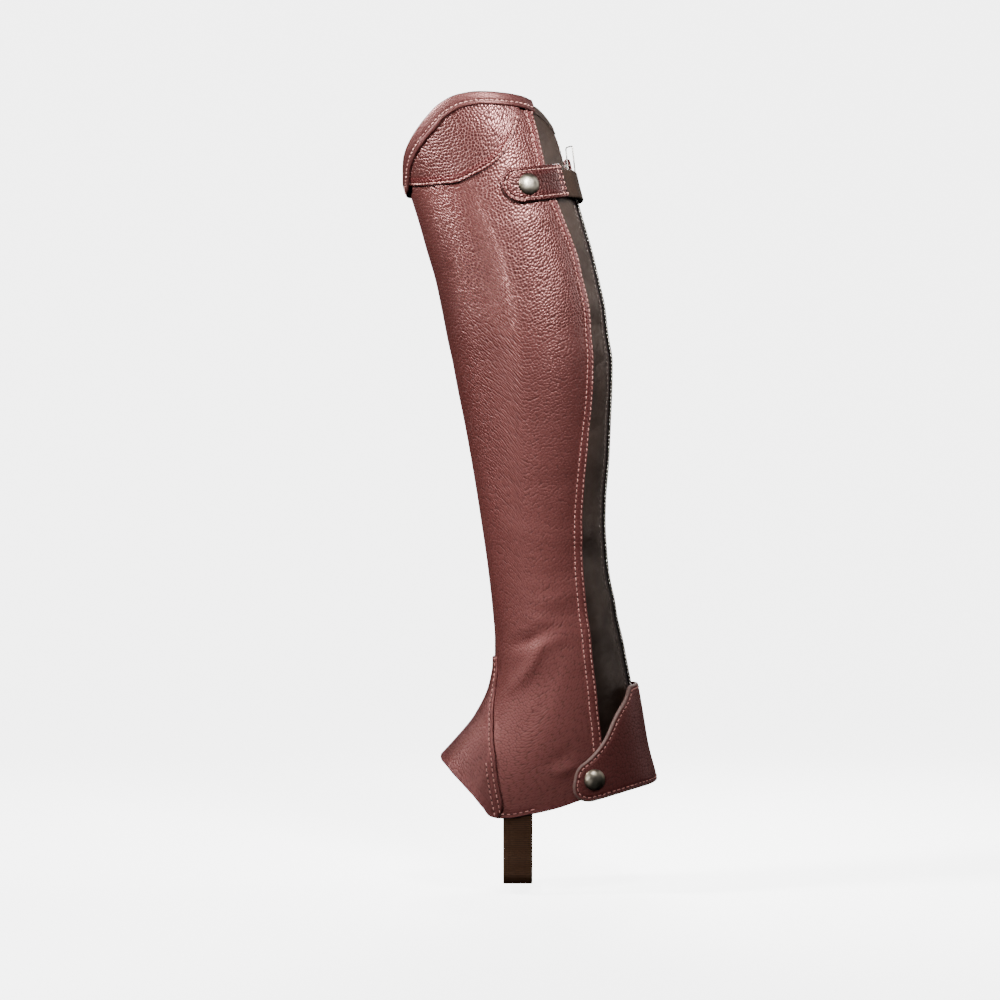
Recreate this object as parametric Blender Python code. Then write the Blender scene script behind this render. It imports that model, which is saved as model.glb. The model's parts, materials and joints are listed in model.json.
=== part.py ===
"""Left leather half chap: a grained leather panel round the shin, an elastic panel and a zip at the
back, snapped tabs at the top and at the heel, and an elastic stirrup that passes under a boot.

Tables and sizes are in millimetres and degrees; meshes are in metres.
The front of the leg is -X, its outer side is -Y, and +Z is up. The origin is at the calf's middle.
Angles go round the leg: 0 at the shin, 90 on the outer side, 180 at the back, -90 on the inner side.
Every piece is cut from one leg surface and lies a stated distance outside (+) or inside (-) of it.
"""
import math
from bisect import bisect_right
from collections import namedtuple

import bmesh
import bpy
from mathutils import Matrix, Vector

MM = 0.001

# ---------------------------------------------------------------- cut of the leg
Section = namedtuple("Section", "height front back half_width fullness")
SECTIONS = (
    Section(178.5, -103.5, 6.5, 53.5, 0.96),
    Section(152.5, -96.5, 15.0, 54.5, 0.96),
    Section(140.0, -92.8, 20.4, 55.0, 0.96),
    Section(127.5, -89.0, 24.2, 55.0, 0.96),
    Section(107.0, -82.0, 29.0, 55.0, 0.96),
    Section(86.0, -75.3, 35.0, 55.0, 0.96),
    Section(65.5, -69.5, 41.0, 54.5, 0.96),
    Section(45.0, -63.5, 46.0, 54.0, 0.96),
    Section(24.0, -59.0, 50.5, 53.5, 0.95),
    Section(3.5, -55.0, 53.4, 52.5, 0.95),
    Section(-11.5, -51.7, 55.4, 51.5, 0.95),
    Section(-27.5, -48.7, 55.2, 50.0, 0.95),
    Section(-58.5, -42.5, 54.0, 46.5, 0.94),
    Section(-89.5, -37.0, 52.5, 43.0, 0.93),
    Section(-121.0, -32.0, 50.5, 39.5, 0.92),
    Section(-152.0, -27.5, 52.5, 37.0, 0.92),
    Section(-183.0, -24.0, 57.5, 36.0, 0.90),
    Section(-203.5, -22.5, 62.5, 36.5, 0.88),
    Section(-219.0, -22.5, 65.5, 37.3, 0.87),
    Section(-234.5, -25.0, 68.5, 37.8, 0.86),
    Section(-255.5, -34.5, 72.5, 38.6, 0.84),
    Section(-276.0, -51.0, 76.5, 39.3, 0.82),
    Section(-296.5, -71.0, 82.0, 39.5, 0.81),
    Section(-326.0, -100.5, 88.5, 38.5, 0.80),
)
EGG = 0.10                  # how much narrower the shin side is than the calf side
RIDGES = sorted(set(range(-180, 181, 10)) | {15, 25, 35, 45, 55})   # straight lines down every layer

# Creases pressed into all layers: where, how they slant, how long and wide they are, how deep
Crease = namedtuple("Crease", "angle height slant half_length half_width depth")
CREASES = (
    Crease(88, -216, 52, 26, 8, 1.6),
    Crease(84, -196, 30, 20, 7, -1.2),
    Crease(-86, -214, -48, 26, 8, 1.4),
    Crease(158, -100, 8, 16, 12, -0.8),
    Crease(160, -176, -10, 18, 10, 0.9),
    Crease(156, 6, 12, 20, 14, -0.8),
)

EdgePoint = namedtuple("EdgePoint", "height angle")
OUTER_EDGE = (              # back edge of the leather on the outer side
    EdgePoint(168, 141.5), EdgePoint(160, 140.0), EdgePoint(147, 136.5), EdgePoint(130, 134.0),
    EdgePoint(110, 133.0), EdgePoint(91, 136.0), EdgePoint(74, 138.5), EdgePoint(56, 141.0),
    EdgePoint(21, 141.0), EdgePoint(-4, 138.5), EdgePoint(-44, 135.5), EdgePoint(-85, 130.0),
    EdgePoint(-127, 126.8), EdgePoint(-177, 122.0), EdgePoint(-221, 118.3), EdgePoint(-245, 119.3),
    EdgePoint(-269, 123.0), EdgePoint(-290, 125.5), EdgePoint(-312, 127.0),
)

TurnPoint = namedtuple("TurnPoint", "angle height")
RIM = (                     # top edge of the leather, highest on the outer side
    TurnPoint(-180, 126.3), TurnPoint(-150, 126.6), TurnPoint(-110, 123.5), TurnPoint(-70, 118.5),
    TurnPoint(-30, 113.0), TurnPoint(0, 111.0), TurnPoint(12, 114.5), TurnPoint(20, 120.5),
    TurnPoint(27, 127.0), TurnPoint(34, 132.5), TurnPoint(48, 142.5), TurnPoint(60, 150.7),
    TurnPoint(72, 158.5), TurnPoint(86, 164.0), TurnPoint(100, 165.7), TurnPoint(120, 164.8),
    TurnPoint(145, 161.5),
)
STRETCH_RIM = (             # top edge of the elastic panel, falling to the zip
    TurnPoint(126, 161.0), TurnPoint(145, 159.5), TurnPoint(155, 155.5), TurnPoint(162, 151.5),
    TurnPoint(168, 147.5), TurnPoint(174, 140.5), TurnPoint(178, 127.0), TurnPoint(200, 126.0),
)
HEM = (                     # bottom edge, the same on both sides of the boot
    TurnPoint(0, -284.5), TurnPoint(25, -289.0), TurnPoint(44, -296.5), TurnPoint(60, -306.5),
    TurnPoint(70, -315.5), TurnPoint(76, -321.5), TurnPoint(82, -322.8), TurnPoint(94, -319.2),
    TurnPoint(104, -315.2), TurnPoint(111, -311.5), TurnPoint(125, -305.0), TurnPoint(145, -299.5),
    TurnPoint(180, -293.0),
)
KNEE_SEAM = (               # lower edge of the knee piece
    TurnPoint(6, 109.5), TurnPoint(19, 108.5), TurnPoint(40, 106.5), TurnPoint(62, 106.3),
    TurnPoint(85, 113.0), TurnPoint(99, 121.0), TurnPoint(111, 134.0), TurnPoint(126, 153.0),
)
INSTEP_TOP = (              # upper edge of the instep piece, an arch over the front of the ankle
    TurnPoint(0, -214.5), TurnPoint(16, -214.5), TurnPoint(19, -222.0), TurnPoint(24, -238.0),
    TurnPoint(35, -253.0), TurnPoint(49, -269.0), TurnPoint(59, -280.5), TurnPoint(69, -296.0),
    TurnPoint(77, -310.5), TurnPoint(80.5, -318.0),
)
TabCut = namedtuple("TabCut", "angle bottom top")
HEEL_TAB = (                # the heel piece from its rounded outer end to its seam on the inner side
    TabCut(107.7, -300.0, -292.5), TabCut(108.3, -303.0, -289.5), TabCut(110.0, -307.0, -286.3),
    TabCut(113.0, -309.8, -283.3), TabCut(117.0, -310.8, -278.8), TabCut(122.5, -309.4, -271.5),
    TabCut(132.0, -306.4, -254.5), TabCut(143.0, -303.8, -243.5), TabCut(154.0, -302.2, -234.3),
    TabCut(180.0, -300.6, -233.5), TabCut(206.0, -303.0, -234.5), TabCut(228.0, -306.5, -254.5),
)

# ---------------------------------------------------------------- layers, from the leg surface outwards
LEATHER = 1.8
OVERLAY = 1.4
GAP = 0.3
PANEL = (0.0, LEATHER)
SEWN_LAYER = (LEATHER + GAP, LEATHER + GAP + OVERLAY)   # pieces sewn flat on the main panel
STRETCH = (-1.6, -0.4)
BINDING_THICK = 1.2
BINDING_WIDTH = 9.0
STUD_THICK = 0.7
STUD_RADIUS = 5.0
TAB_LEATHER = 1.6
TAB_LAYER = (LEATHER + 2 * GAP + STUD_THICK, LEATHER + 2 * GAP + STUD_THICK + TAB_LEATHER)
HEEL_LAYER = (3.4, 5.1)

# Where one offset or thickness gives way to another: the ramp starts here and takes this far
Ramp = namedtuple("Ramp", "start length")
KNEE_COVER_FRONT = Ramp(-42.0, 28.0)    # the binding rises over the knee piece
KNEE_COVER_BACK = Ramp(131.0, 8.0)      # and comes down again at the back corner
STRETCH_UNDER_RIM = Ramp(119.0, 8.0)    # the binding takes in the elastic panel too
HEEL_PEAK_LIFT = 1.0                    # the heel piece stands off the leg at its peak
HEEL_PEAK_ROUND = Ramp(125.0, 25.0)
HEEL_PEAK_RISE = Ramp(-290.0, 55.0)
HEEL_SEWN = Ramp(186.0, 20.0)           # on the inner side it lies flat
TOP_TAB_LIFT = Ramp(128.0, 18.0)
ELASTIC_RISE = Ramp(143.0, 20.0)        # the strap climbs from the tab to the zip
ELASTIC_FALL = Ramp(182.0, 20.0)        # and comes down on the inner leather

KNEE_PIECE_ENDS = (8.0, 126.5)
INSTEP_HALF = (18, 24, 30, 35, 40, 50, 60, 70, 77, 80)     # columns of one half of the instep piece
RIM_FOLD = 0.55                         # how square a folded strip is over its rim
BINDING_START = 0.5                     # the binding stops short of the leather's two edges
BINDING_END = -0.3

EDGE_OVERLAP = 9.0          # the elastic panel runs this far under the leather
TAPE_OVERLAP = 6.0
ZIP_ANGLE = 172.0
CHAIN_WIDTH = 5.6
CHAIN_LAYER = (-0.6, 1.4)
TAPE_SHOWING = 4.5          # tape between the chain and the panels
TAPE_THICK = 0.8
TAPE_LAYER_AT_CHAIN = -0.9  # the tapes' outer face beside the chain
TAPE_TOP_DROP = 10.0        # the tapes end under the rim's bindings
TAPE_HEM_RISE = 1.0
TAPE_SLIT = 0.3             # half the slit between the tapes, behind the chain
TAPE_TUCK = 0.4             # where a tape starts to dive under its panel
TAPE_DIVE = 3.0             # degrees that the dive takes
TAPE_CLEARANCE = 0.1        # more than the seam gap, where the wall bends
ZIP_END_RISE = 6.0          # the chain ends above the hem
STOP_HEIGHTS = (121.0, 123.2)
STOP_OUT = 1.9              # from the zip's middle to a stop's middle
STOP_HALF = 0.9
STOP_LAYER = (-0.6, 0.7)
HEM_BAND_THICK = 0.7        # the band folded over the elastic panel's rim
HEM_BAND_WIDTH = 5.5
HEM_BAND_START = 1.3

SliderRing = namedtuple("SliderRing", "height half_width crown_drop")
SLIDER_LENGTH = 13.0
SLIDER_RINGS = (
    SliderRing(-6.5, 2.9, 0.5), SliderRing(-5.7, 3.3, 0.0), SliderRing(0.0, 3.7, 0.0),
    SliderRing(3.0, 4.2, 0.0), SliderRing(5.3, 4.0, 0.0), SliderRing(6.5, 3.0, 0.5),
)
SLIDER_BASE = -0.55
SLIDER_SHOULDER = 0.6
SLIDER_CROWN = 1.3          # half width of the flat top
SLIDER_TOP = 1.7
SLIDER_HEIGHT = 112.0       # middle of the slider
SLIDER_ROLL = 10.0          # the slider is turned a little to the outer side
BAIL_WIDTH = 2.6
BAIL_WIRE = 0.45
BAIL_SINK = 0.6             # how deep the bail's feet go into the slider
BAIL_TAIL = 6.0             # the bail runs down the slider this far from the pull's hole
PULL_WIRE = 1.1
PULL_CLEARANCE = 0.35
PULL_WIDTH = 8.0
PULL_LENGTH = 19.5
PULL_LEAN = 7.0             # degrees that the pull leans off the zip
PULL_CORNER = 1.6
PULL_SIDES = 6              # flats round the wire
PULL_CORNER_STEPS = 3
PIVOT_RISE = 3.8            # pivot above the slider's middle

TOP_TAB_ENDS = (95.8, 146.0)
TOP_TAB_HEIGHTS = (102.3, 108.6)
TOP_TAB_HALF = 11.5
TOP_TAB_LIFT_END = 0.8
ELASTIC_ENDS = (139.0, 214.0)
ELASTIC_HALF = 9.8
ELASTIC_THICK = 1.3
ELASTIC_OVER_ZIP = 4.45
ELASTIC_START = 1.4
ELASTIC_SEWN = LEATHER + GAP
ELASTIC_HEIGHTS = (107.8, 107.0)
TOP_SNAP = TurnPoint(114.3, 104.4)
HEEL_SNAP = TurnPoint(118.6, -296.0)
SNAP_RADIUS = 7.2
SNAP_HEIGHT = 3.0
ProfilePoint = namedtuple("ProfilePoint", "radius rise")   # shares of a piece's radius and height
CAP_PROFILE = (
    ProfilePoint(0.0, 0.0), ProfilePoint(0.5, 0.0), ProfilePoint(0.93, 0.0), ProfilePoint(1.0, 0.13),
    ProfilePoint(0.97, 0.3), ProfilePoint(0.8, 0.65), ProfilePoint(0.45, 0.93), ProfilePoint(0.0, 1.0),
)
STUD_PROFILE = (
    ProfilePoint(0.0, 0.0), ProfilePoint(0.5, 0.0), ProfilePoint(1.0, 0.0), ProfilePoint(1.0, 1.0),
    ProfilePoint(0.5, 1.0), ProfilePoint(0.0, 1.0),
)
CAP_SIDES = 20
STUD_SIDES = 16

STIRRUP_FRONT = -18.5
STIRRUP_BACK = 1.3
STIRRUP_THICK = 1.6
STIRRUP_BOTTOM = -368.5
STIRRUP_SEWN = 13.0
SOLE_HALF_WIDTH = 33.0
SOLE_CORNER = 9.0

MID_TOP = 90.0              # rows are level between these two heights
MID_BOTTOM = -203.5
ROW_STEP = 16.0
RIM_ROWS = 8
HEM_ROWS = 10


# ---------------------------------------------------------------- interpolation and the leg surface
def table_value(table, key, value, at):
    """Smooth value of one column of a table at a place between its rows."""
    rows = sorted(table, key=lambda row: getattr(row, key))
    places = [getattr(row, key) for row in rows]
    values = [getattr(row, value) for row in rows]
    if at <= places[0]:
        slope = (values[1] - values[0]) / (places[1] - places[0])
        return values[0] + slope * (at - places[0])
    if at >= places[-1]:
        slope = (values[-1] - values[-2]) / (places[-1] - places[-2])
        return values[-1] + slope * (at - places[-1])
    i = next(k for k in range(len(places) - 1) if at <= places[k + 1])
    span = places[i + 1] - places[i]
    t = (at - places[i]) / span
    start_slope = row_slope(places, values, i) * span
    end_slope = row_slope(places, values, i + 1) * span
    return ((2 * t ** 3 - 3 * t ** 2 + 1) * values[i] + (t ** 3 - 2 * t ** 2 + t) * start_slope
            + (3 * t ** 2 - 2 * t ** 3) * values[i + 1] + (t ** 3 - t ** 2) * end_slope)


def row_slope(places, values, i):
    """Slope at row i that never overshoots the rows beside it."""
    low = max(i - 1, 0)
    high = min(i + 1, len(places) - 1)
    steps = [(values[k + 1] - values[k]) / (places[k + 1] - places[k]) for k in range(low, high)]
    if len(steps) == 2 and steps[0] * steps[1] <= 0:
        return 0.0
    if len(steps) == 2:
        return 2 * steps[0] * steps[1] / (steps[0] + steps[1])
    return steps[0]


def clamp01(value):
    return min(max(value, 0.0), 1.0)


def smooth_step(value):
    value = clamp01(value)
    return value * value * (3 - 2 * value)


def along_ramp(value, ramp):
    return smooth_step((value - ramp.start) / ramp.length)


def mix(start, end, t):
    return start + (end - start) * t


SECTION_CACHE = {}


def section_at(height):
    if height not in SECTION_CACHE:
        names = ("front", "back", "half_width", "fullness")
        SECTION_CACHE[height] = tuple(table_value(SECTIONS, "height", name, height) for name in names)
    return SECTION_CACHE[height]


def bare_point(angle, height):
    """Point of the uncreased leg surface, in millimetres."""
    front, back, half_width, fullness = section_at(round(height, 4))
    cosine = math.cos(math.radians(angle))
    sine = math.sin(math.radians(angle))
    x = (front + back) / 2 - (back - front) / 2 * cosine
    y = -half_width * math.copysign(abs(sine) ** fullness, sine) * (1 - EGG * cosine)
    return Vector((x, y, height))


def outward(angle, height):
    around = bare_point(angle + 2.0, height) - bare_point(angle - 2.0, height)
    upward = bare_point(angle, height + 2.0) - bare_point(angle, height - 2.0)
    return around.cross(upward).normalized()


def turn_between(angle, other):
    """Signed turn in degrees from one angle to another, within half a turn."""
    return (angle - other + 180.0) % 360.0 - 180.0


def mm_per_degree(angle, height):
    return (bare_point(angle + 0.5, height) - bare_point(angle - 0.5, height)).length


def crease_depth(angle, height):
    depth = 0.0
    for crease in CREASES:
        across = turn_between(angle, crease.angle) * mm_per_degree(crease.angle, crease.height)
        rise = height - crease.height
        if abs(across) > 3 * crease.half_length or abs(rise) > 3 * crease.half_length:
            continue
        slant = math.radians(crease.slant)
        along = across * math.cos(slant) + rise * math.sin(slant)
        beside = rise * math.cos(slant) - across * math.sin(slant)
        shape = math.exp(-(along / crease.half_length) ** 2 - (beside / crease.half_width) ** 2)
        depth += crease.depth * shape
    return depth


RIDGE_CACHE = {}


def ridge_point(angle, height):
    key = (round(angle % 360.0, 3), round(height, 4))
    if key not in RIDGE_CACHE:
        normal = outward(angle, height)
        point = bare_point(angle, height) + normal * crease_depth(angle, height)
        RIDGE_CACHE[key] = (point, normal)
    return RIDGE_CACHE[key]


def leg(angle, height, offset):
    """Point at a distance from the leg surface, flat between the ridge lines, in millimetres."""
    turned = turn_between(angle, 0.0)
    k = max(bisect_right(RIDGES, turned), 1)
    low, high = RIDGES[k - 1], RIDGES[min(k, len(RIDGES) - 1)]
    near_point, near_normal = ridge_point(low, height)
    if turned - low < 1e-9:
        return near_point + near_normal * offset
    far_point, far_normal = ridge_point(high, height)
    t = (turned - low) / (high - low)
    return (near_point + near_normal * offset).lerp(far_point + far_normal * offset, t)


# ---------------------------------------------------------------- cut lines
def outer_edge(height):
    return table_value(OUTER_EDGE, "height", "angle", height)


def zip_angle(height):
    return ZIP_ANGLE


def beside(angle_line, distance):
    """A line a number of millimetres round the leg from another line."""
    def line(height):
        angle = angle_line(height)
        return angle + distance / mm_per_degree(angle, height)
    return line


def at_angle(angle):
    return lambda height: angle


def rim_height(angle):
    signed = turn_between(angle, 0.0)
    return table_value(RIM, "angle", "height", signed - 360.0 if signed > 150.0 else signed)


def stretch_rim_height(angle):
    return table_value(STRETCH_RIM, "angle", "height", angle)


def hem_height(angle):
    return table_value(HEM, "angle", "height", abs(turn_between(angle, 0.0)))


def knee_seam_height(angle):
    return table_value(KNEE_SEAM, "angle", "height", angle)


def instep_top_height(angle):
    return table_value(INSTEP_TOP, "angle", "height", abs(angle))


def middle_rows():
    marks = [row.height for row in SECTIONS if MID_BOTTOM <= row.height < MID_TOP]
    marks = sorted(marks + [MID_TOP])
    rows = [marks[0]]
    for low, high in zip(marks, marks[1:]):
        parts = math.ceil((high - low) / ROW_STEP)
        rows += [mix(low, high, (k + 1) / parts) for k in range(parts)]
    return rows


def height_on_line(line, height_at, share, anchor):
    """Height on a slanting line at a share of the way from a cut edge to an anchor height."""
    height = anchor
    for _ in range(8):
        height = mix(height_at(line(height)), anchor, share)
    return height


def full_column(line, rim_at=rim_height, rim_drop=0.0, hem_rise=0.0):
    """Heights of one column of a panel that runs from the hem to a rim."""
    def low_edge(angle):
        return hem_height(angle) + hem_rise

    def high_edge(angle):
        return rim_at(angle) - rim_drop

    heights = [height_on_line(line, low_edge, k / HEM_ROWS, MID_BOTTOM) for k in range(HEM_ROWS)]
    heights += middle_rows()
    heights += [height_on_line(line, high_edge, 1 - k / RIM_ROWS, MID_TOP) for k in range(1, RIM_ROWS + 1)]
    return [(line(height), height) for height in heights]


def short_column(angle, low, high, rows):
    return [(angle, mix(low, high, k / rows)) for k in range(rows + 1)]


def angles_between(start, end):
    """Two angles with every ridge line that lies between them."""
    ridges = {ridge + turn for ridge in RIDGES for turn in (-360, 0, 360)}
    return [start] + sorted(r for r in ridges if start + 0.4 < r < end - 0.4) + [end]


def with_ridges(angles):
    """A growing list of angles with the ridge lines between its ends added to it."""
    extra = [r for r in angles_between(angles[0], angles[-1]) if all(abs(r - a) > 0.4 for a in angles)]
    return sorted(list(angles) + extra)


# ---------------------------------------------------------------- materials and meshes
def material(name, colour, roughness, metallic=0.0):
    finish = bpy.data.materials.new(name)
    finish.use_nodes = True
    shader = finish.node_tree.nodes["Principled BSDF"]
    shader.inputs["Base Color"].default_value = (*colour, 1.0)
    shader.inputs["Roughness"].default_value = roughness
    shader.inputs["Metallic"].default_value = metallic
    return finish


def add_solid(name, points, faces, finish):
    """A closed mesh object from points in millimetres."""
    mesh = bpy.data.meshes.new(name)
    mesh.from_pydata([Vector(point) * MM for point in points], [], faces)
    shell = bmesh.new()
    shell.from_mesh(mesh)
    bmesh.ops.recalc_face_normals(shell, faces=shell.faces)
    shell.to_mesh(mesh)
    shell.free()
    solid = bpy.data.objects.new(name, mesh)
    bpy.context.scene.collection.objects.link(solid)
    mesh.materials.append(finish)
    mesh.shade_smooth()
    mesh.set_sharp_from_angle(angle=math.radians(35))
    return solid


def loft(name, rings, finish):
    """A solid from closed rings of points, capped at both ends."""
    count = len(rings[0])
    points = [point for ring in rings for point in ring]
    faces = []
    for r in range(len(rings) - 1):
        for k in range(count):
            after = (k + 1) % count
            faces.append((r * count + k, r * count + after, (r + 1) * count + after, (r + 1) * count + k))
    last = (len(rings) - 1) * count
    faces.append(tuple(reversed(range(count))))
    faces.append(tuple(last + k for k in range(count)))
    return add_solid(name, points, faces, finish)


def wall(name, columns, inner, outer, finish):
    """A cloth wall between two offsets. Columns run upwards and follow each other round the leg
    in the direction of growing angle; an offset is a number or a function of angle and height."""
    def offset(value, angle, height):
        return value(angle, height) if callable(value) else value

    width, rows = len(columns), len(columns[0])
    outside = [leg(a, z, offset(outer, a, z)) for column in columns for a, z in column]
    inside = [leg(a, z, offset(inner, a, z)) for column in columns for a, z in column]
    back = width * rows
    faces = []
    for i in range(width - 1):
        for j in range(rows - 1):
            a, b = i * rows + j, (i + 1) * rows + j
            faces.append((a, b, b + 1, a + 1))
            faces.append((back + a + 1, back + b + 1, back + b, back + a))
    for j in range(rows - 1):
        a, b = j, (width - 1) * rows + j
        faces.append((a, a + 1, back + a + 1, back + a))
        faces.append((b + 1, b, back + b, back + b + 1))
    for i in range(width - 1):
        a, b = i * rows, (i + 1) * rows
        faces.append((b, a, back + a, back + b))
        top_a, top_b = a + rows - 1, b + rows - 1
        faces.append((top_a, top_b, back + top_b, back + top_a))
    return add_solid(name, outside + inside, faces, finish)


# ---------------------------------------------------------------- leather pieces
def inner_leather_edge(height):
    return beside(zip_angle, CHAIN_WIDTH / 2 + TAPE_SHOWING)(height) - 360.0


def outer_stretch_line(height):
    return beside(zip_angle, -CHAIN_WIDTH / 2 - TAPE_SHOWING)(height)


def make_main_panel(finish):
    last_ridge = 110.0
    lines = [inner_leather_edge] + [at_angle(a) for a in angles_between(-170.0, last_ridge)]
    for share in (0.25, 0.5, 0.75, 1.0):
        lines.append(lambda height, share=share: mix(last_ridge, outer_edge(height), share))
    wall("main_panel", [full_column(line) for line in lines], *PANEL, finish)


def make_knee_piece(finish):
    angles = angles_between(*KNEE_PIECE_ENDS)
    columns = [short_column(a, knee_seam_height(a), rim_height(a), 4) for a in angles]
    wall("knee_piece", columns, *SEWN_LAYER, finish)


def knee_cover(angle):
    """1 where the knee piece lies under the binding, 0 on the inner side."""
    return along_ramp(angle, KNEE_COVER_FRONT) - along_ramp(angle, KNEE_COVER_BACK)


def binding_ring(angle, rim_at, outer_gap, inner_gap, thick, width):
    """Section of a strip folded over a rim: gaps are the offsets of the faces that it embraces."""
    height = rim_at(angle)
    here = leg(angle, height, 0.0)
    ahead = leg(angle + 1.0, rim_at(angle + 1.0), 0.0)
    behind = leg(angle - 1.0, rim_at(angle - 1.0), 0.0)
    normal = outward(angle, height)
    run = (ahead - behind).normalized()
    down = run.cross(normal).normalized()
    if down.z > 0:
        down.negate()
    steepness = abs(ahead.z - behind.z) / (ahead - behind).length
    low = height - width / math.sqrt(1 - min(steepness, 0.75) ** 2)
    top = here - down * (GAP + thick)
    cap = here - down * GAP
    outer_face = outer_gap + thick
    inner_face = inner_gap - thick
    return (
        leg(angle, low, outer_gap), leg(angle, low, outer_face), leg(angle, height, outer_face),
        top + normal * mix(outer_gap, outer_face, RIM_FOLD),
        top + normal * mix(inner_gap, inner_face, RIM_FOLD),
        leg(angle, height, inner_face), leg(angle, low, inner_face), leg(angle, low, inner_gap),
        cap + normal * inner_gap, cap + normal * outer_gap,
    )


def make_top_binding(finish):
    start = inner_leather_edge(rim_height(-180.0)) + BINDING_START
    end = outer_edge(rim_height(141.0)) + BINDING_END
    rings = []
    for angle in angles_between(start, end):
        outer_gap = LEATHER + GAP + (OVERLAY + GAP) * knee_cover(angle)
        inner_gap = mix(-GAP, STRETCH[0] - GAP, along_ramp(angle, STRETCH_UNDER_RIM))
        rings.append(binding_ring(angle, rim_height, outer_gap, inner_gap, BINDING_THICK, BINDING_WIDTH))
    loft("top_binding", rings, finish)


def make_instep_piece(finish):
    angles = with_ridges([-angle for angle in reversed(INSTEP_HALF)] + list(INSTEP_HALF))
    columns = [short_column(a, hem_height(a), instep_top_height(a), 9) for a in angles]
    wall("instep_piece", columns, *SEWN_LAYER, finish)


def heel_offset(angle, height, layer):
    """Over the stud and the zip the piece stands off; on the inner side it is sewn down."""
    peak = along_ramp(height, HEEL_PEAK_RISE) * along_ramp(angle, HEEL_PEAK_ROUND)
    return mix(HEEL_LAYER[layer] + HEEL_PEAK_LIFT * peak, SEWN_LAYER[layer], along_ramp(angle, HEEL_SEWN))


def make_heel_tab(finish):
    end = HEEL_TAB[-1].angle
    angles = with_ridges([row.angle for row in HEEL_TAB if row.angle < 123] + [end])
    columns = []
    for angle in angles:
        low = table_value(HEEL_TAB, "angle", "bottom", angle)
        high = table_value(HEEL_TAB, "angle", "top", angle)
        columns.append(short_column(angle, low, high, 5))
    wall("heel_tab", columns, lambda a, z: heel_offset(a, z, 0), lambda a, z: heel_offset(a, z, 1), finish)


def top_tab_centre(angle):
    start, end = TOP_TAB_ENDS
    return mix(*TOP_TAB_HEIGHTS, clamp01((angle - start) / (end - start)))


def make_top_tab(finish):
    start, end = TOP_TAB_ENDS
    round_end = start + TOP_TAB_HALF / mm_per_degree(start, TOP_TAB_HEIGHTS[0])
    angles = [mix(start, round_end, share) for share in (0.02, 0.12, 0.3, 0.6, 1.0)]
    angles = with_ridges(angles + [end])
    columns = []
    for angle in angles:
        part = clamp01((round_end - angle) / (round_end - start))
        half = TOP_TAB_HALF * math.sqrt(1 - part * part)
        centre = top_tab_centre(angle)
        columns.append(short_column(angle, centre - half, centre + half, 4))

    def lift(angle, height, layer):
        return TAB_LAYER[layer] + TOP_TAB_LIFT_END * along_ramp(angle, TOP_TAB_LIFT)

    wall("top_tab", columns, lambda a, z: lift(a, z, 0), lambda a, z: lift(a, z, 1), finish)


# ---------------------------------------------------------------- elastic pieces
def stretch_columns():
    start = beside(outer_edge, -EDGE_OVERLAP)
    lines = []
    for share in (0.0, 0.2, 0.4, 0.6, 0.8, 1.0):
        lines.append(lambda height, share=share: mix(start(height), outer_stretch_line(height), share))
    return [full_column(line, stretch_rim_height) for line in lines]


def make_stretch_panel(finish):
    wall("stretch_panel", stretch_columns(), *STRETCH, finish)


def make_stretch_hem(finish):
    start = outer_edge(158.0) + HEM_BAND_START
    rim_angles = [column[-1][0] for column in stretch_columns()]
    rings = []
    for angle in [start] + [a for a in rim_angles if a > start + 1.0]:
        rings.append(binding_ring(angle, stretch_rim_height, STRETCH[1] + GAP, STRETCH[0] - GAP,
                                  HEM_BAND_THICK, HEM_BAND_WIDTH))
    loft("stretch_hem", rings, finish)


def elastic_inner(angle, height):
    """The strap leaves the tab low, bridges the zip and lands on the inner leather."""
    over_zip = mix(ELASTIC_START, ELASTIC_OVER_ZIP, along_ramp(angle, ELASTIC_RISE))
    return mix(over_zip, ELASTIC_SEWN, along_ramp(angle, ELASTIC_FALL))


def make_top_elastic(finish):
    start, end = ELASTIC_ENDS
    angles = sorted(angles_between(start, end) + [155.0, 165.0, 175.0, 185.0])
    columns = []
    for angle in angles:
        centre = mix(*ELASTIC_HEIGHTS, (angle - start) / (end - start))
        columns.append(short_column(angle, centre - ELASTIC_HALF, centre + ELASTIC_HALF, 2))
    wall("top_elastic", columns, elastic_inner, lambda a, z: elastic_inner(a, z) + ELASTIC_THICK, finish)


def outer_angle(x, height):
    """Angle on the outer side at which the leg surface has a given X."""
    front, back, _, _ = section_at(height)
    return math.degrees(math.acos(((front + back) / 2 - x) / ((back - front) / 2)))


StirrupRow = namedtuple("StirrupRow", "front_y back_y height tilt")


def stirrup_rows():
    """The stirrup's outer face from inside the outer hem to the middle of the sole."""
    hem = hem_height(90.0)
    rows = []
    for height in (hem + STIRRUP_SEWN, hem + STIRRUP_SEWN / 2, hem - 1.0):
        edges = [leg(outer_angle(x, height), height, -2 * GAP).y for x in (STIRRUP_FRONT, STIRRUP_BACK)]
        rows.append(StirrupRow(*edges, height, 0.0))
    bend = STIRRUP_BOTTOM + SOLE_CORNER
    rows.append(StirrupRow(mix(rows[-1].front_y, -SOLE_HALF_WIDTH, 0.7),
                           mix(rows[-1].back_y, -SOLE_HALF_WIDTH, 0.7), mix(hem, bend, 0.6), 0.0))
    steps = 5
    for k in range(steps + 1):
        turn = math.pi / 2 * k / steps
        y = -SOLE_HALF_WIDTH + SOLE_CORNER * (1 - math.cos(turn))
        rows.append(StirrupRow(y, y, bend - SOLE_CORNER * math.sin(turn), turn))
    return rows


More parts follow.
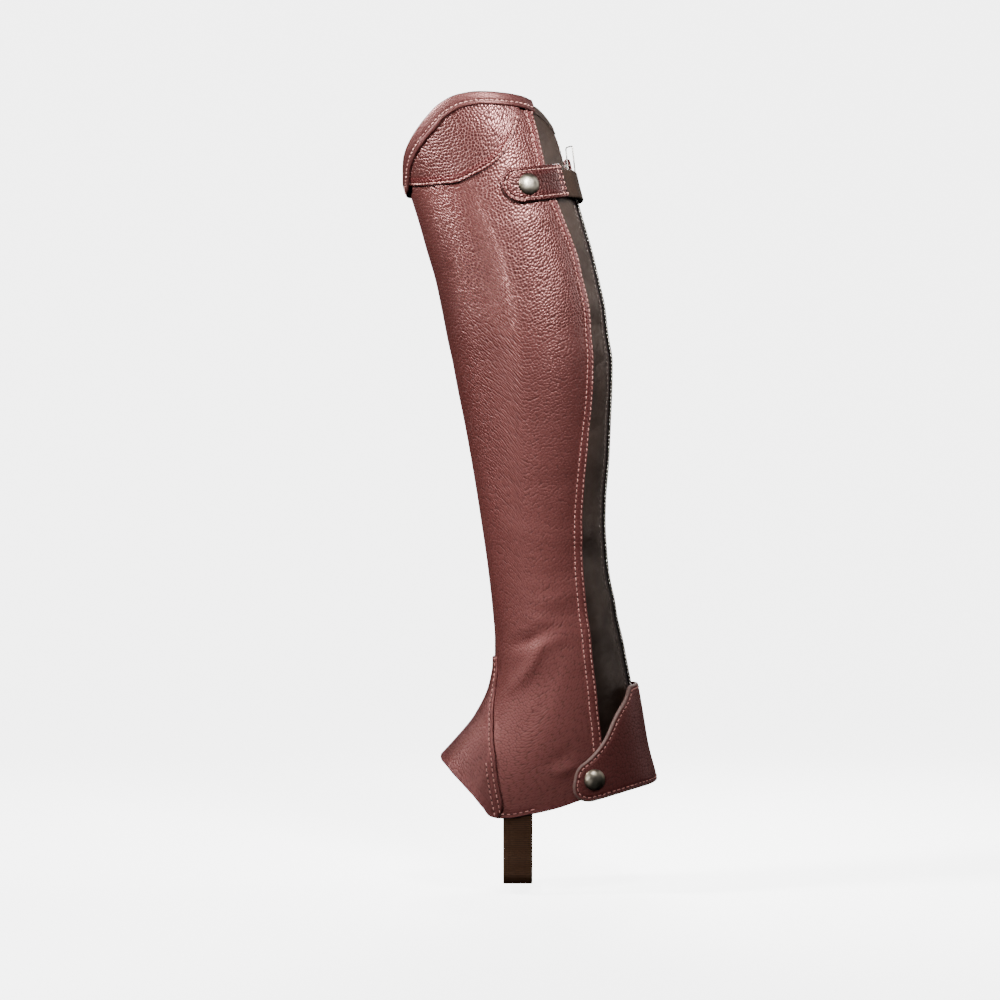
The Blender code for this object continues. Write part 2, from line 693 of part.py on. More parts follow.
def make_stirrup_elastic(finish):
    rings = []
    for side, rows in ((1, stirrup_rows()), (-1, reversed(stirrup_rows()))):
        for row in rows:
            inward = Vector((0.0, side * math.cos(row.tilt), math.sin(row.tilt))) * STIRRUP_THICK
            front = Vector((STIRRUP_FRONT, side * row.front_y, row.height))
            back = Vector((STIRRUP_BACK, side * row.back_y, row.height))
            rings.append((front, back, back + inward, front + inward))
    loft("stirrup_elastic", rings, finish)


# ---------------------------------------------------------------- zip
def outer_tape_offset(angle, height):
    under_panel = STRETCH[0] - 2 * GAP
    t = smooth_step((angle - outer_stretch_line(height) - TAPE_TUCK) / TAPE_DIVE)
    return mix(under_panel, TAPE_LAYER_AT_CHAIN, t)


def inner_tape_offset(angle, height):
    t = smooth_step((inner_leather_edge(height) + 360.0 - TAPE_TUCK - angle) / TAPE_DIVE)
    return mix(-GAP - TAPE_CLEARANCE, TAPE_LAYER_AT_CHAIN, t)


def make_zip_tapes(finish):
    outer_lines = [beside(outer_stretch_line, -TAPE_OVERLAP), beside(outer_stretch_line, TAPE_TUCK),
                   beside(zip_angle, -CHAIN_WIDTH / 2), beside(zip_angle, -TAPE_SLIT)]
    inner_start = beside(zip_angle, CHAIN_WIDTH / 2 + TAPE_SHOWING)
    inner_lines = [beside(zip_angle, TAPE_SLIT), beside(zip_angle, CHAIN_WIDTH / 2),
                   beside(inner_start, -TAPE_TUCK), beside(inner_start, TAPE_OVERLAP)]
    for name, lines, offset in (("zip_tape_outer", outer_lines, outer_tape_offset),
                                ("zip_tape_inner", inner_lines, inner_tape_offset)):
        columns = [full_column(line, stretch_rim_height, TAPE_TOP_DROP, TAPE_HEM_RISE) for line in lines]
        wall(name, columns, lambda a, z, o=offset: o(a, z) - TAPE_THICK, offset, finish)


def make_zip_chain(finish):
    bottom = hem_height(ZIP_ANGLE) + ZIP_END_RISE
    top = SLIDER_HEIGHT - SLIDER_LENGTH / 2 - GAP
    rows = [z for _, z in full_column(at_angle(ZIP_ANGLE), stretch_rim_height)]
    heights = [bottom] + [z for z in rows if bottom + 4 < z < top - 4] + [top]
    rings = []
    for height in heights:
        half = CHAIN_WIDTH / 2 / mm_per_degree(ZIP_ANGLE, height)
        low, high = ZIP_ANGLE - half, ZIP_ANGLE + half
        rings.append((leg(low, height, CHAIN_LAYER[0]), leg(low, height, CHAIN_LAYER[1]),
                      leg(high, height, CHAIN_LAYER[1]), leg(high, height, CHAIN_LAYER[0])))
    loft("zip_chain", [tuple(reversed(ring)) for ring in rings], finish)


def make_zip_stops(finish):
    for name, side in (("zip_stop_outer", -1), ("zip_stop_inner", 1)):
        rings = []
        low, high = STOP_LAYER
        for height in STOP_HEIGHTS:
            near = beside(zip_angle, side * STOP_OUT - STOP_HALF)(height)
            far = beside(zip_angle, side * STOP_OUT + STOP_HALF)(height)
            rings.append((leg(far, height, low), leg(far, height, high), leg(near, height, high),
                          leg(near, height, low)))
        loft(name, rings, finish)


def zip_frame(roll):
    """Axes on the leg surface at the slider's middle: X across the zip, Y outwards, Z up along it."""
    up = (leg(ZIP_ANGLE, SLIDER_HEIGHT + 6, 0.0) - leg(ZIP_ANGLE, SLIDER_HEIGHT - 6, 0.0)).normalized()
    out = outward(ZIP_ANGLE, SLIDER_HEIGHT)
    out = (out - up * out.dot(up)).normalized()
    out = Matrix.Rotation(math.radians(roll), 3, up) @ out
    frame = Matrix((out.cross(up), out, up)).transposed().to_4x4()
    frame.translation = leg(ZIP_ANGLE, SLIDER_HEIGHT, 0.0)
    return frame


def make_zip_slider(finish):
    frame = zip_frame(0.0)
    rings = []
    for height, half, crown_drop in SLIDER_RINGS:
        crown = SLIDER_TOP - crown_drop
        outline = ((half, SLIDER_BASE), (half, SLIDER_SHOULDER), (SLIDER_CROWN, crown),
                   (-SLIDER_CROWN, crown), (-half, SLIDER_SHOULDER), (-half, SLIDER_BASE))
        rings.append([frame @ Vector((x, y, height)) for x, y in outline])
    slider = loft("zip_slider", rings, finish)
    join_solids(slider, make_bail(finish))


def make_bail(finish):
    """Arch over the slider; the pull's wire passes through the square hole at its upper end."""
    frame = zip_frame(SLIDER_ROLL)
    sink = SLIDER_TOP - BAIL_SINK
    hole_top = SLIDER_TOP + 2 * PULL_CLEARANCE + PULL_WIRE
    crest = hole_top + BAIL_WIRE
    reach = PULL_CLEARANCE + PULL_WIRE / 2 + 0.1
    hole_low, hole_high = PIVOT_RISE - reach, PIVOT_RISE + reach
    end = hole_high + 2 * BAIL_WIRE
    arch = ((sink, hole_low - BAIL_TAIL), (hole_top - BAIL_SINK, hole_low - 0.8 * BAIL_TAIL),
            (crest, hole_low - 0.4 * BAIL_TAIL), (crest, hole_high), (hole_top - BAIL_WIRE, end), (sink, end),
            (sink, hole_high), (hole_top, hole_high), (hole_top, hole_low), (sink, hole_low))
    rings = [[frame @ Vector((x, y, z)) for y, z in arch] for x in (-BAIL_WIDTH / 2, BAIL_WIDTH / 2)]
    return loft("bail_cutter", rings, finish)


def join_solids(solid, extra):
    """Unite a second solid with the first, and remove it."""
    union = solid.modifiers.new("union", "BOOLEAN")
    union.operation = "UNION"
    union.object = extra
    depsgraph = bpy.context.evaluated_depsgraph_get()
    united = bpy.data.meshes.new_from_object(solid.evaluated_get(depsgraph))
    solid.modifiers.clear()
    solid.data = united
    bpy.data.objects.remove(extra, do_unlink=True)


def pull_pivot():
    """Frame whose X is the pull's hinge axis and whose Z runs up the pull at rest."""
    frame = zip_frame(SLIDER_ROLL)
    height = SLIDER_TOP + PULL_CLEARANCE + PULL_WIRE / 2
    lean = Matrix.Rotation(math.radians(-PULL_LEAN), 4, "X")
    return frame @ Matrix.Translation((0.0, height, PIVOT_RISE)) @ lean


def make_zip_pull(finish):
    frame = pull_pivot()
    reach = PULL_WIDTH / 2 - PULL_CORNER
    top = PULL_LENGTH - PULL_CORNER
    corners = ((reach, PULL_CORNER, -90), (reach, top, 0), (-reach, top, 90), (-reach, PULL_CORNER, 180))
    path = []
    for x, z, first in corners:
        for step in range(PULL_CORNER_STEPS + 1):
            turn = math.radians(first + 90 * step / PULL_CORNER_STEPS)
            path.append(Vector((x + PULL_CORNER * math.cos(turn), 0.0, z + PULL_CORNER * math.sin(turn))))
    sides = PULL_SIDES
    points, faces = [], []
    for k, middle in enumerate(path):
        run = (path[(k + 1) % len(path)] - path[k - 1]).normalized()
        side = Vector((run.z, 0.0, -run.x))
        for s in range(sides):
            turn = 2 * math.pi * s / sides
            ring = side * math.cos(turn) + Vector((0.0, 1.0, 0.0)) * math.sin(turn)
            points.append(frame @ (middle + ring * (PULL_WIRE / 2)))
            along = (k + 1) % len(path)
            faces.append((k * sides + s, k * sides + (s + 1) % sides, along * sides + (s + 1) % sides,
                          along * sides + s))
    add_solid("zip_pull", points, faces, finish)


# ---------------------------------------------------------------- snaps
def snap_disc(name, centre, profile, sides, finish):
    """A round piece that lies on the leg: the profile gives radius and offset from the bottom up."""
    around = mm_per_degree(centre.angle, centre.height)
    climb = (bare_point(centre.angle, centre.height + 1.0) - bare_point(centre.angle, centre.height)).length
    points, faces = [], []
    for radius, offset in profile[1:-1]:
        for k in range(sides):
            turn = 2 * math.pi * k / sides
            angle = centre.angle + radius * math.cos(turn) / around
            points.append(leg(angle, centre.height + radius * math.sin(turn) / climb, offset))
    rings = len(profile) - 2
    for r in range(rings - 1):
        for k in range(sides):
            after = (k + 1) % sides
            faces.append((r * sides + k, r * sides + after, (r + 1) * sides + after, (r + 1) * sides + k))
    for row, (_, offset) in ((0, profile[0]), (rings - 1, profile[-1])):
        points.append(leg(centre.angle, centre.height, offset))
        pole = len(points) - 1
        faces += [(row * sides + k, row * sides + (k + 1) % sides, pole) for k in range(sides)]
    add_solid(name, points, faces, finish)


def scaled_profile(profile, radius, low, high):
    return [(radius * point.radius, mix(low, high, point.rise)) for point in profile]


def make_snap(prefix, centre, tab_layer, finish):
    """The domed cap on the tab and the flat stud under it."""
    low = tab_layer[1] + GAP
    cap = scaled_profile(CAP_PROFILE, SNAP_RADIUS, low, low + SNAP_HEIGHT)
    snap_disc(prefix + "_snap_cap", centre, cap, CAP_SIDES, finish)
    stud = scaled_profile(STUD_PROFILE, STUD_RADIUS, LEATHER + GAP, tab_layer[0] - GAP)
    snap_disc(prefix + "_snap_stud", centre, stud, STUD_SIDES, finish)


# ---------------------------------------------------------------- the whole half chap
def main():
    for item in list(bpy.data.objects):
        bpy.data.objects.remove(item, do_unlink=True)
    leather = material("oxblood_leather", (0.19, 0.062, 0.055), 0.5)
    stretch = material("brown_stretch", (0.03, 0.017, 0.013), 0.45)
    webbing = material("brown_webbing", (0.055, 0.03, 0.016), 0.85)
    steel = material("zip_steel", (0.75, 0.75, 0.73), 0.25, 1.0)
    nickel = material("antique_nickel", (0.42, 0.4, 0.36), 0.32, 1.0)

    make_main_panel(leather)
    make_knee_piece(leather)
    make_top_binding(leather)
    make_instep_piece(leather)
    make_heel_tab(leather)
    make_top_tab(leather)
    make_stretch_panel(stretch)
    make_stretch_hem(stretch)
    make_top_elastic(webbing)
    make_stirrup_elastic(webbing)
    make_zip_tapes(stretch)
    make_zip_chain(steel)
    make_zip_stops(steel)
    make_zip_slider(steel)
    make_zip_pull(steel)
    make_snap("top", TOP_SNAP, TAB_LAYER, nickel)
    make_snap("heel", HEEL_SNAP, HEEL_LAYER, nickel)


main()
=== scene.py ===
"""Left leather half chap: leather, elastic, zip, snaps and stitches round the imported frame, and a stage.

Tables and sizes are in millimetres and degrees; meshes and the frame are in metres.
The front of the leg is -X, its outer side is -Y, and +Z is up. Angles go round the leg: 0 at the shin,
90 on the outer side, 180 at the back. Every piece lies at offsets, in millimetres, from one leg surface.
A line on that surface is a pair of arrays, its angles and its heights.
"""
import json
import math
from collections import namedtuple

import bmesh
import bpy
import numpy as np
from bpy.props import FloatProperty, FloatVectorProperty, PointerProperty
from mathutils import Matrix, Vector
from mathutils.kdtree import KDTree


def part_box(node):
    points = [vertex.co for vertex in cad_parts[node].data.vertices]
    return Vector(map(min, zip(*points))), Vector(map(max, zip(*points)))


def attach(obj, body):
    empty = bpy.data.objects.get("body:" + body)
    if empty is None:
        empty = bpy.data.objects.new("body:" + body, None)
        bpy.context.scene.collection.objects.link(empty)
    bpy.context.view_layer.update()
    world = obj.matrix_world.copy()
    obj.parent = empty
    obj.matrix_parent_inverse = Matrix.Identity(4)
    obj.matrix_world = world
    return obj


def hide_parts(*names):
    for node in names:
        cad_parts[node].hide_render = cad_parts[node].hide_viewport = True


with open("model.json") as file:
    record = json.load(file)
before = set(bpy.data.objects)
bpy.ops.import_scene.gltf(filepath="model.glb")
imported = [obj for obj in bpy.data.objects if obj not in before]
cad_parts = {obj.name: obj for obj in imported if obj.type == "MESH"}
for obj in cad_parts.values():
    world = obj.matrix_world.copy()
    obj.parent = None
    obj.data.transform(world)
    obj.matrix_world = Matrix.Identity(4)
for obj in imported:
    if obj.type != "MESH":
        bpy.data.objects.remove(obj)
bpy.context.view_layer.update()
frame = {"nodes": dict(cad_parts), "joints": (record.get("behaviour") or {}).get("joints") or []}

bl_info = {
    "name": "Leather Half Chap",
    "version": (1, 0, 0),
    "blender": (4, 5, 0),
    "location": "3D View > Sidebar > Half Chap",
    "description": "Builds the visible pieces of a leather half chap round its frame",
    "category": "Add Mesh",
}

MM = 0.001
CHAP = "half_chap"
PULL = "zip_pull_tab"
UV_NAME = "cut"

# ---------------------------------------------------------------- cut of the leg
Section = namedtuple("Section", "height front back half_width fullness")
SECTIONS = (
    Section(178.5, -103.5, 6.5, 53.5, 0.96),
    Section(152.5, -96.5, 15.0, 54.5, 0.96),
    Section(140.0, -92.8, 20.4, 55.0, 0.96),
    Section(127.5, -89.0, 24.2, 55.0, 0.96),
    Section(107.0, -82.0, 29.0, 55.0, 0.96),
    Section(86.0, -75.3, 35.0, 55.0, 0.96),
    Section(65.5, -69.5, 41.0, 54.5, 0.96),
    Section(45.0, -63.5, 46.0, 54.0, 0.96),
    Section(24.0, -59.0, 50.5, 53.5, 0.95),
    Section(3.5, -55.0, 53.4, 52.5, 0.95),
    Section(-11.5, -51.7, 55.4, 51.5, 0.95),
    Section(-27.5, -48.7, 55.2, 50.0, 0.95),
    Section(-58.5, -42.5, 54.0, 46.5, 0.94),
    Section(-89.5, -37.0, 52.5, 43.0, 0.93),
    Section(-121.0, -32.0, 50.5, 39.5, 0.92),
    Section(-152.0, -27.5, 52.5, 37.0, 0.92),
    Section(-183.0, -24.0, 57.5, 36.0, 0.90),
    Section(-203.5, -22.5, 62.5, 36.5, 0.88),
    Section(-219.0, -22.5, 65.5, 37.3, 0.87),
    Section(-234.5, -25.0, 68.5, 37.8, 0.86),
    Section(-255.5, -34.5, 72.5, 38.6, 0.84),
    Section(-276.0, -51.0, 76.5, 39.3, 0.82),
    Section(-296.5, -71.0, 82.0, 39.5, 0.81),
    Section(-326.0, -100.5, 88.5, 38.5, 0.80),
)
EGG = 0.10                  # how much narrower the shin side is than the calf side

# Soft ridges (+) and troughs (-) in every layer, as the leather and the elastic settle on a leg
Fold = namedtuple("Fold", "angle height slant half_length half_width depth")
FOLDS = (
    Fold(62, -220, 58, 21, 5.0, 2.2),       # ankle
    Fold(64, -202, 24, 15, 4.2, -1.5),
    Fold(80, -205, 22, 15, 4, 0.6),
    Fold(80, -228, 60, 18, 5, -0.5),
    Fold(84, -176, 6, 14, 2.6, 0.28),
    Fold(94, -184, -5, 17, 2.4, -0.3),
    Fold(72, -189, -12, 12, 2.6, 0.3),
    Fold(88, -168, 10, 11, 2.4, -0.25),
    Fold(105, -171, -8, 9, 2.6, 0.25),
    Fold(43, -243, 66, 15, 4.5, 0.6),
    Fold(74, -252, 70, 15, 4, -0.5),
    Fold(112, -226, 14, 12, 4, -0.35),
    Fold(102, -290, 20, 8, 3.2, 1.1),       # leather gathered in front of the heel piece
    Fold(98, -281, 38, 9, 3, -0.6),
    Fold(58, -283, -58, 12, 4, 0.6),        # instep
    Fold(66, -297, -66, 10, 3, -0.4),
    Fold(47, -262, -48, 12, 4, -0.4),
    Fold(96, -158, 8, 22, 5, -0.35),        # shallow ones up the calf
    Fold(80, -132, -12, 24, 6, 0.3),
    Fold(104, -96, 6, 20, 6, -0.3),
    Fold(62, -70, -78, 34, 9, 0.4),
    Fold(112, 52, 74, 30, 8, -0.4),
    Fold(120, 82, 20, 10, 4, 0.4),
    Fold(90, 84, 12, 16, 5, -0.3),
    Fold(-86, -214, -48, 26, 8, 1.4),       # the same on the inner side
    Fold(-82, -195, -26, 18, 7, -1.0),
    Fold(-100, -206, -30, 14, 4, 0.5),
    Fold(-70, -240, -62, 16, 5, 0.5),
    Fold(-98, -150, -10, 22, 6, -0.4),
    Fold(-112, -120, 8, 20, 6, 0.35),
    Fold(-84, -84, 12, 24, 6, -0.3),
    Fold(-66, -40, 80, 34, 9, 0.4),
    Fold(-120, 40, -70, 28, 8, -0.4),
    Fold(-60, -284, 58, 12, 4, 0.5),
    Fold(158, -100, 8, 16, 12, -0.8),       # elastic panel
    Fold(160, -176, -10, 18, 10, 0.9),
    Fold(156, 6, 12, 20, 14, -0.8),
    Fold(150, 40, -16, 13, 6, -0.8),
    Fold(158, 24, 6, 13, 7, 0.5),
    Fold(151, -12, 14, 13, 7, -0.8),
    Fold(149, -32, -8, 13, 7, 0.5),
    Fold(146, -58, 12, 14, 7, -0.7),
    Fold(142, -80, -10, 13, 8, 0.5),
    Fold(140, -128, 22, 13, 7, 0.9),
    Fold(140, -146, -14, 14, 7, -0.9),
    Fold(136, -190, 44, 16, 6, 1.1),
    Fold(140, -214, 30, 14, 8, -0.8),
    Fold(150, 118, -30, 12, 8, -0.6),
)

EdgePoint = namedtuple("EdgePoint", "height angle")
OUTER_EDGE = (              # back edge of the leather on the outer side
    EdgePoint(168, 141.5), EdgePoint(160, 140.0), EdgePoint(147, 136.5), EdgePoint(130, 134.0),
    EdgePoint(110, 133.0), EdgePoint(91, 136.0), EdgePoint(74, 138.5), EdgePoint(56, 141.0),
    EdgePoint(21, 141.0), EdgePoint(-4, 138.5), EdgePoint(-44, 135.5), EdgePoint(-85, 130.0),
    EdgePoint(-127, 126.8), EdgePoint(-177, 122.0), EdgePoint(-221, 118.3), EdgePoint(-245, 119.3),
    EdgePoint(-269, 123.0), EdgePoint(-290, 125.5), EdgePoint(-312, 127.0),
)

TurnPoint = namedtuple("TurnPoint", "angle height")
RIM = (                     # top edge of the leather, highest on the outer side
    TurnPoint(-180, 126.3), TurnPoint(-150, 126.6), TurnPoint(-110, 123.5), TurnPoint(-70, 118.5),
    TurnPoint(-30, 113.0), TurnPoint(0, 111.0), TurnPoint(12, 114.5), TurnPoint(20, 120.5),
    TurnPoint(27, 127.0), TurnPoint(34, 132.5), TurnPoint(48, 142.5), TurnPoint(60, 150.7),
    TurnPoint(72, 158.5), TurnPoint(86, 164.0), TurnPoint(100, 165.7), TurnPoint(120, 164.8),
    TurnPoint(145, 161.5),
)
STRETCH_RIM = (             # top edge of the elastic panel, falling to the zip
    TurnPoint(126, 161.0), TurnPoint(145, 159.5), TurnPoint(155, 155.5), TurnPoint(162, 151.5),
    TurnPoint(168, 147.5), TurnPoint(174, 140.5), TurnPoint(178, 127.0), TurnPoint(200, 126.0),
)
HEM = (                     # bottom edge, the same on both sides of the boot
    TurnPoint(0, -284.5), TurnPoint(25, -289.0), TurnPoint(44, -296.5), TurnPoint(60, -306.5),
    TurnPoint(70, -315.5), TurnPoint(76, -321.5), TurnPoint(82, -322.8), TurnPoint(94, -319.2),
    TurnPoint(104, -315.2), TurnPoint(111, -311.5), TurnPoint(125, -305.0), TurnPoint(145, -299.5),
    TurnPoint(180, -293.0),
)
KNEE_SEAM = (               # lower edge of the knee piece
    TurnPoint(6, 109.5), TurnPoint(19, 108.5), TurnPoint(40, 106.5), TurnPoint(62, 106.3),
    TurnPoint(85, 113.0), TurnPoint(99, 121.0), TurnPoint(111, 134.0), TurnPoint(126, 153.0),
)
INSTEP_TOP = (              # upper edge of the instep piece, an arch over the front of the ankle
    TurnPoint(0, -214.5), TurnPoint(16, -214.5), TurnPoint(19, -222.0), TurnPoint(24, -238.0),
    TurnPoint(35, -253.0), TurnPoint(49, -269.0), TurnPoint(59, -280.5), TurnPoint(69, -296.0),
    TurnPoint(77, -310.5), TurnPoint(80.5, -318.0),
)
TabCut = namedtuple("TabCut", "angle bottom top")
HEEL_TAB = (                # the heel piece from its rounded outer end to its seam on the inner side
    TabCut(107.7, -300.0, -292.5), TabCut(108.3, -303.0, -289.5), TabCut(110.0, -307.0, -286.3),
    TabCut(113.0, -309.8, -283.3), TabCut(117.0, -310.8, -278.8), TabCut(122.5, -309.4, -271.5),
    TabCut(132.0, -306.4, -254.5), TabCut(143.0, -303.8, -243.5), TabCut(154.0, -302.2, -234.3),
    TabCut(180.0, -300.6, -233.5), TabCut(206.0, -303.0, -234.5), TabCut(228.0, -306.5, -254.5),
)

# ---------------------------------------------------------------- layers, offsets from the leg surface
LEATHER = 1.8
TURNED_EXTRA = 0.6          # added where the outer edge of the leather is turned under
TURNED_WIDTH = 7.2
SKIVED = 0.5                # taken off beside the zip
SKIVED_WIDTH = 9.0
SEAM = 0.05                 # layers that are sewn together nearly touch
OVERLAY = (LEATHER + SEAM, 3.4)
STRETCH = (-1.6, -0.4)
BINDING_THICK = 1.2
BINDING_WIDTH = 7.8
BINDING_BULGE = 1.6         # how far the fold stands over the rim
KNEE_ENDS = (8.0, 126.5)
TOP_TAB_ENDS = (95.8, 146.0)
TOP_TAB_HEIGHTS = (102.3, 108.6)
TOP_TAB_HALF = 11.5
TOP_TAB_LAYER = (2.6, 4.9)
HEEL_LAYER = (3.0, 5.2)
ELASTIC_ENDS = (139.0, 214.0)
ELASTIC_HEIGHTS = (107.8, 107.0)
ELASTIC_HALF = 9.8
ELASTIC_THICK = 1.3
ELASTIC_LEVELS = (1.4, 4.45, 2.1)           # leaving the tab, over the zip, on the inner leather
RIB = 1.3                   # from rib to rib of the webbing
ZIP_ANGLE = 172.0
CHAIN_WIDTH = 5.6
TAPE_SHOWING = 4.5
TAPE_THICK = 0.8
TAPE_TOP = -0.3
TAPE_SINK = 1.2             # deeper above the teeth
TAPE_SINK_FROM = 106.0
TAPE_TOP_DROP = 10.0
EDGE_OVERLAP = 9.0
TAPE_OVERLAP = 6.0
TEETH_LEVEL = 1.2
TEETH_TOP = 105.4           # height of the last tooth
PULL_YAW = 30.0             # the loop hangs a little turned in its bail
PULL_HALF = 4.0             # half the loop's width
PULL_LENGTH = 19.5
PULL_CORNER = 1.6
PULL_WIRE = 0.45            # the wire's radius
SLIDER_TILT = 7.0
SLIDER_SHIFT = (0.0, -2.6, -3.8)            # from the pull's hinge to the slider's middle
TOP_SNAP = TurnPoint(114.3, 104.4)
HEEL_SNAP = TurnPoint(118.6, -296.0)
SNAP_RADIUS = 7.3
SNAP_RISE = 3.2

STIRRUP_X = (-18.5, 1.3)
STIRRUP_THICK = 1.6
STIRRUP_LEVEL = -0.6        # its sewn ends lie inside the leather
STIRRUP_BOTTOM = -368.5
STIRRUP_SEWN = 13.0
SOLE_HALF_WIDTH = 33.0
SOLE_CORNER = 9.0

# ---------------------------------------------------------------- stage, in metres
FLOOR = -0.3755
CAMERA_X, CAMERA_Z = -0.0207, -0.107
SENSOR = 36.0               # the camera's width, in millimetres
Softbox = namedtuple("Softbox", "name place size watts aim spread")         # spread in degrees

# Grid lines beside an edge, closest where it is rounded and where its second row is sewn
EDGE_STEPS = (0.0, 0.25, 0.6, 1.0, 1.5, 2.0, 2.7, 3.5, 4.4, 5.2, 5.6, 6.0, 6.4, 6.9, 7.7, 8.8, 10.2)


# ---------------------------------------------------------------- curves and the leg surface
class Curve:
    """Smooth curve through two columns of a table that never overshoots its rows."""

    def __init__(self, table, key, value):
        rows = sorted(table, key=lambda row: getattr(row, key))
        self.x = np.array([getattr(row, key) for row in rows], float)
        self.y = np.array([getattr(row, value) for row in rows], float)
        steps = np.diff(self.y) / np.diff(self.x)
        product = steps[1:] * steps[:-1]
        total = steps[1:] + steps[:-1]
        inner = np.where(product > 0, 2 * product / np.where(total == 0, 1, total), 0.0)
        self.slope = np.concatenate((steps[:1], inner, steps[-1:]))

    def __call__(self, at):
        at = np.asarray(at, float)
        i = np.clip(np.searchsorted(self.x, at, side="right") - 1, 0, len(self.x) - 2)
        span = self.x[i + 1] - self.x[i]
        past = (at - self.x[i]) / span
        t = np.clip(past, 0, 1)
        start, end = self.slope[i] * span, self.slope[i + 1] * span
        inside = ((2 * t ** 3 - 3 * t ** 2 + 1) * self.y[i] + (t ** 3 - 2 * t ** 2 + t) * start
                  + (3 * t ** 2 - 2 * t ** 3) * self.y[i + 1] + (t ** 3 - t ** 2) * end)
        return inside + (past - t) * np.where(past > 1, end, start)


section_front = Curve(SECTIONS, "height", "front")
section_back = Curve(SECTIONS, "height", "back")
section_width = Curve(SECTIONS, "height", "half_width")
section_fullness = Curve(SECTIONS, "height", "fullness")
outer_edge = Curve(OUTER_EDGE, "height", "angle")
rim_curve = Curve(RIM, "angle", "height")
stretch_rim = Curve(STRETCH_RIM, "angle", "height")
hem_curve = Curve(HEM, "angle", "height")
knee_seam = Curve(KNEE_SEAM, "angle", "height")
instep_curve = Curve(INSTEP_TOP, "angle", "height")
heel_bottom = Curve(HEEL_TAB, "angle", "bottom")
heel_top = Curve(HEEL_TAB, "angle", "top")


def smooth(value):
    """From 0 to 1 with a soft start and end."""
    value = np.clip(value, 0.0, 1.0)
    return value * value * (3 - 2 * value)


def eased(value, start, span):
    """0 up to the start, 1 past the span, and smooth between."""
    return smooth((value - start) / span)


def mix(start, end, t):
    return start + (end - start) * t


def turn_between(angle, other):
    """The shorter turn from one angle to another, in degrees."""
    return (angle - other + 180.0) % 360.0 - 180.0


def rim_height(angle):
    signed = turn_between(np.asarray(angle, float), 0.0)
    return rim_curve(np.where(signed > 150.0, signed - 360.0, signed))


def hem_height(angle):
    return hem_curve(np.abs(turn_between(np.asarray(angle, float), 0.0)))


def instep_top(angle):
    return instep_curve(np.abs(angle))


def bare(angle, height):
    """Points of the leg surface without its folds."""
    angle, height = np.broadcast_arrays(np.asarray(angle, float), np.asarray(height, float))
    front, back = section_front(height), section_back(height)
    cosine, sine = np.cos(np.radians(angle)), np.sin(np.radians(angle))
    x = (front + back) / 2 - (back - front) / 2 * cosine
    y = -section_width(height) * np.sign(sine) * np.abs(sine) ** section_fullness(height) * (1 - EGG * cosine)
    return np.stack((x, y, height), -1)


def outward(angle, height):
    """The direction straight out of the leg surface."""
    around = bare(angle + 2.0, height) - bare(angle - 2.0, height)
    upward = bare(angle, height + 2.0) - bare(angle, height - 2.0)
    normal = np.cross(around, upward)
    return normal / np.linalg.norm(normal, axis=-1, keepdims=True)


def mm_per_degree(angle, height):
    return np.linalg.norm(bare(angle + 0.5, height) - bare(angle - 0.5, height), axis=-1)


def folds(angle, height):
    """Height of the folds at each point."""
    total = np.zeros(np.broadcast(angle, height).shape)
    for fold in FOLDS:
        across = turn_between(angle, fold.angle) * float(mm_per_degree(fold.angle, fold.height))
        rise = height - fold.height
        slant = math.radians(fold.slant)
        along = across * math.cos(slant) + rise * math.sin(slant)
        beside_it = rise * math.cos(slant) - across * math.sin(slant)
        bend = 0.12 * along ** 2 / fold.half_length      # a fold curves a little, like a smile
        total += fold.depth * np.exp(-(along / fold.half_length) ** 2
                                     - ((beside_it - bend) / fold.half_width) ** 2)
    return total


def leg(angle, height, offset):
    """Points at an offset from the leg surface with its folds."""
    angle, height = np.broadcast_arrays(np.asarray(angle, float), np.asarray(height, float))
    return bare(angle, height) + outward(angle, height) * (folds(angle, height) + offset)[..., None]


# ---------------------------------------------------------------- lines on the leg surface
def beside(angle_line, distance):
    """A line a number of millimetres round the leg from another line."""
    def line(height):
        angle = angle_line(height)
        return angle + distance / mm_per_degree(angle, height)
    return line


def at_angle(angle):
    return lambda height: np.full(np.shape(height), float(angle))


zip_line = at_angle(ZIP_ANGLE)
outer_stretch_edge = beside(zip_line, -CHAIN_WIDTH / 2 - TAPE_SHOWING)


def inner_leather_edge(height):
    return beside(zip_line, CHAIN_WIDTH / 2 + TAPE_SHOWING)(height) - 360.0


def steps_between(start, end, step):
    return np.linspace(start, end, max(int(abs(end - start) / step), 2))


def upright(line, low, high, step=1.0):
    heights = steps_between(low, high, step)
    return line(heights), heights


def level(curve, start, end, step=1.0):
    angles = steps_between(start, end, step)
    return angles, curve(angles)


def inset(line, distance):
    """A line moved over the surface, to the left of its run where the distance is positive."""
    angles, heights = line
    around = mm_per_degree(angles, heights)
    climb = np.linalg.norm(bare(angles, heights + 0.5) - bare(angles, heights - 0.5), axis=-1)
    across, up = np.gradient(angles) * around, np.gradient(heights) * climb
    length = np.hypot(across, up)
    return angles - distance * up / length / around, heights + distance * across / length / climb


def outline(low_curve, high_curve, start, end):
    """A tab's edge from its sewn end, along its lower edge, round its free end and back."""
    spread = start + (end - start) * np.linspace(0, 1, 120) ** 2
    angles = np.concatenate((spread[::-1], spread))
    heights = np.concatenate((low_curve(spread)[::-1], high_curve(spread)))
    keep = np.concatenate(([True], (np.abs(np.diff(angles)) + np.abs(np.diff(heights))) > 1e-6))
    return angles[keep], heights[keep]


def cut_line(line, keep):
    """The part of a line where a condition on its angles and heights holds."""
    inside = keep(*line)
    return line[0][inside], line[1][inside]


# ---------------------------------------------------------------- meshes
def finished(name, mesh, materials):
    piece = bpy.data.objects.new(name, mesh)
    bpy.context.scene.collection.objects.link(piece)
    for item in materials:
        mesh.materials.append(item)
    mesh.shade_smooth()
    return piece


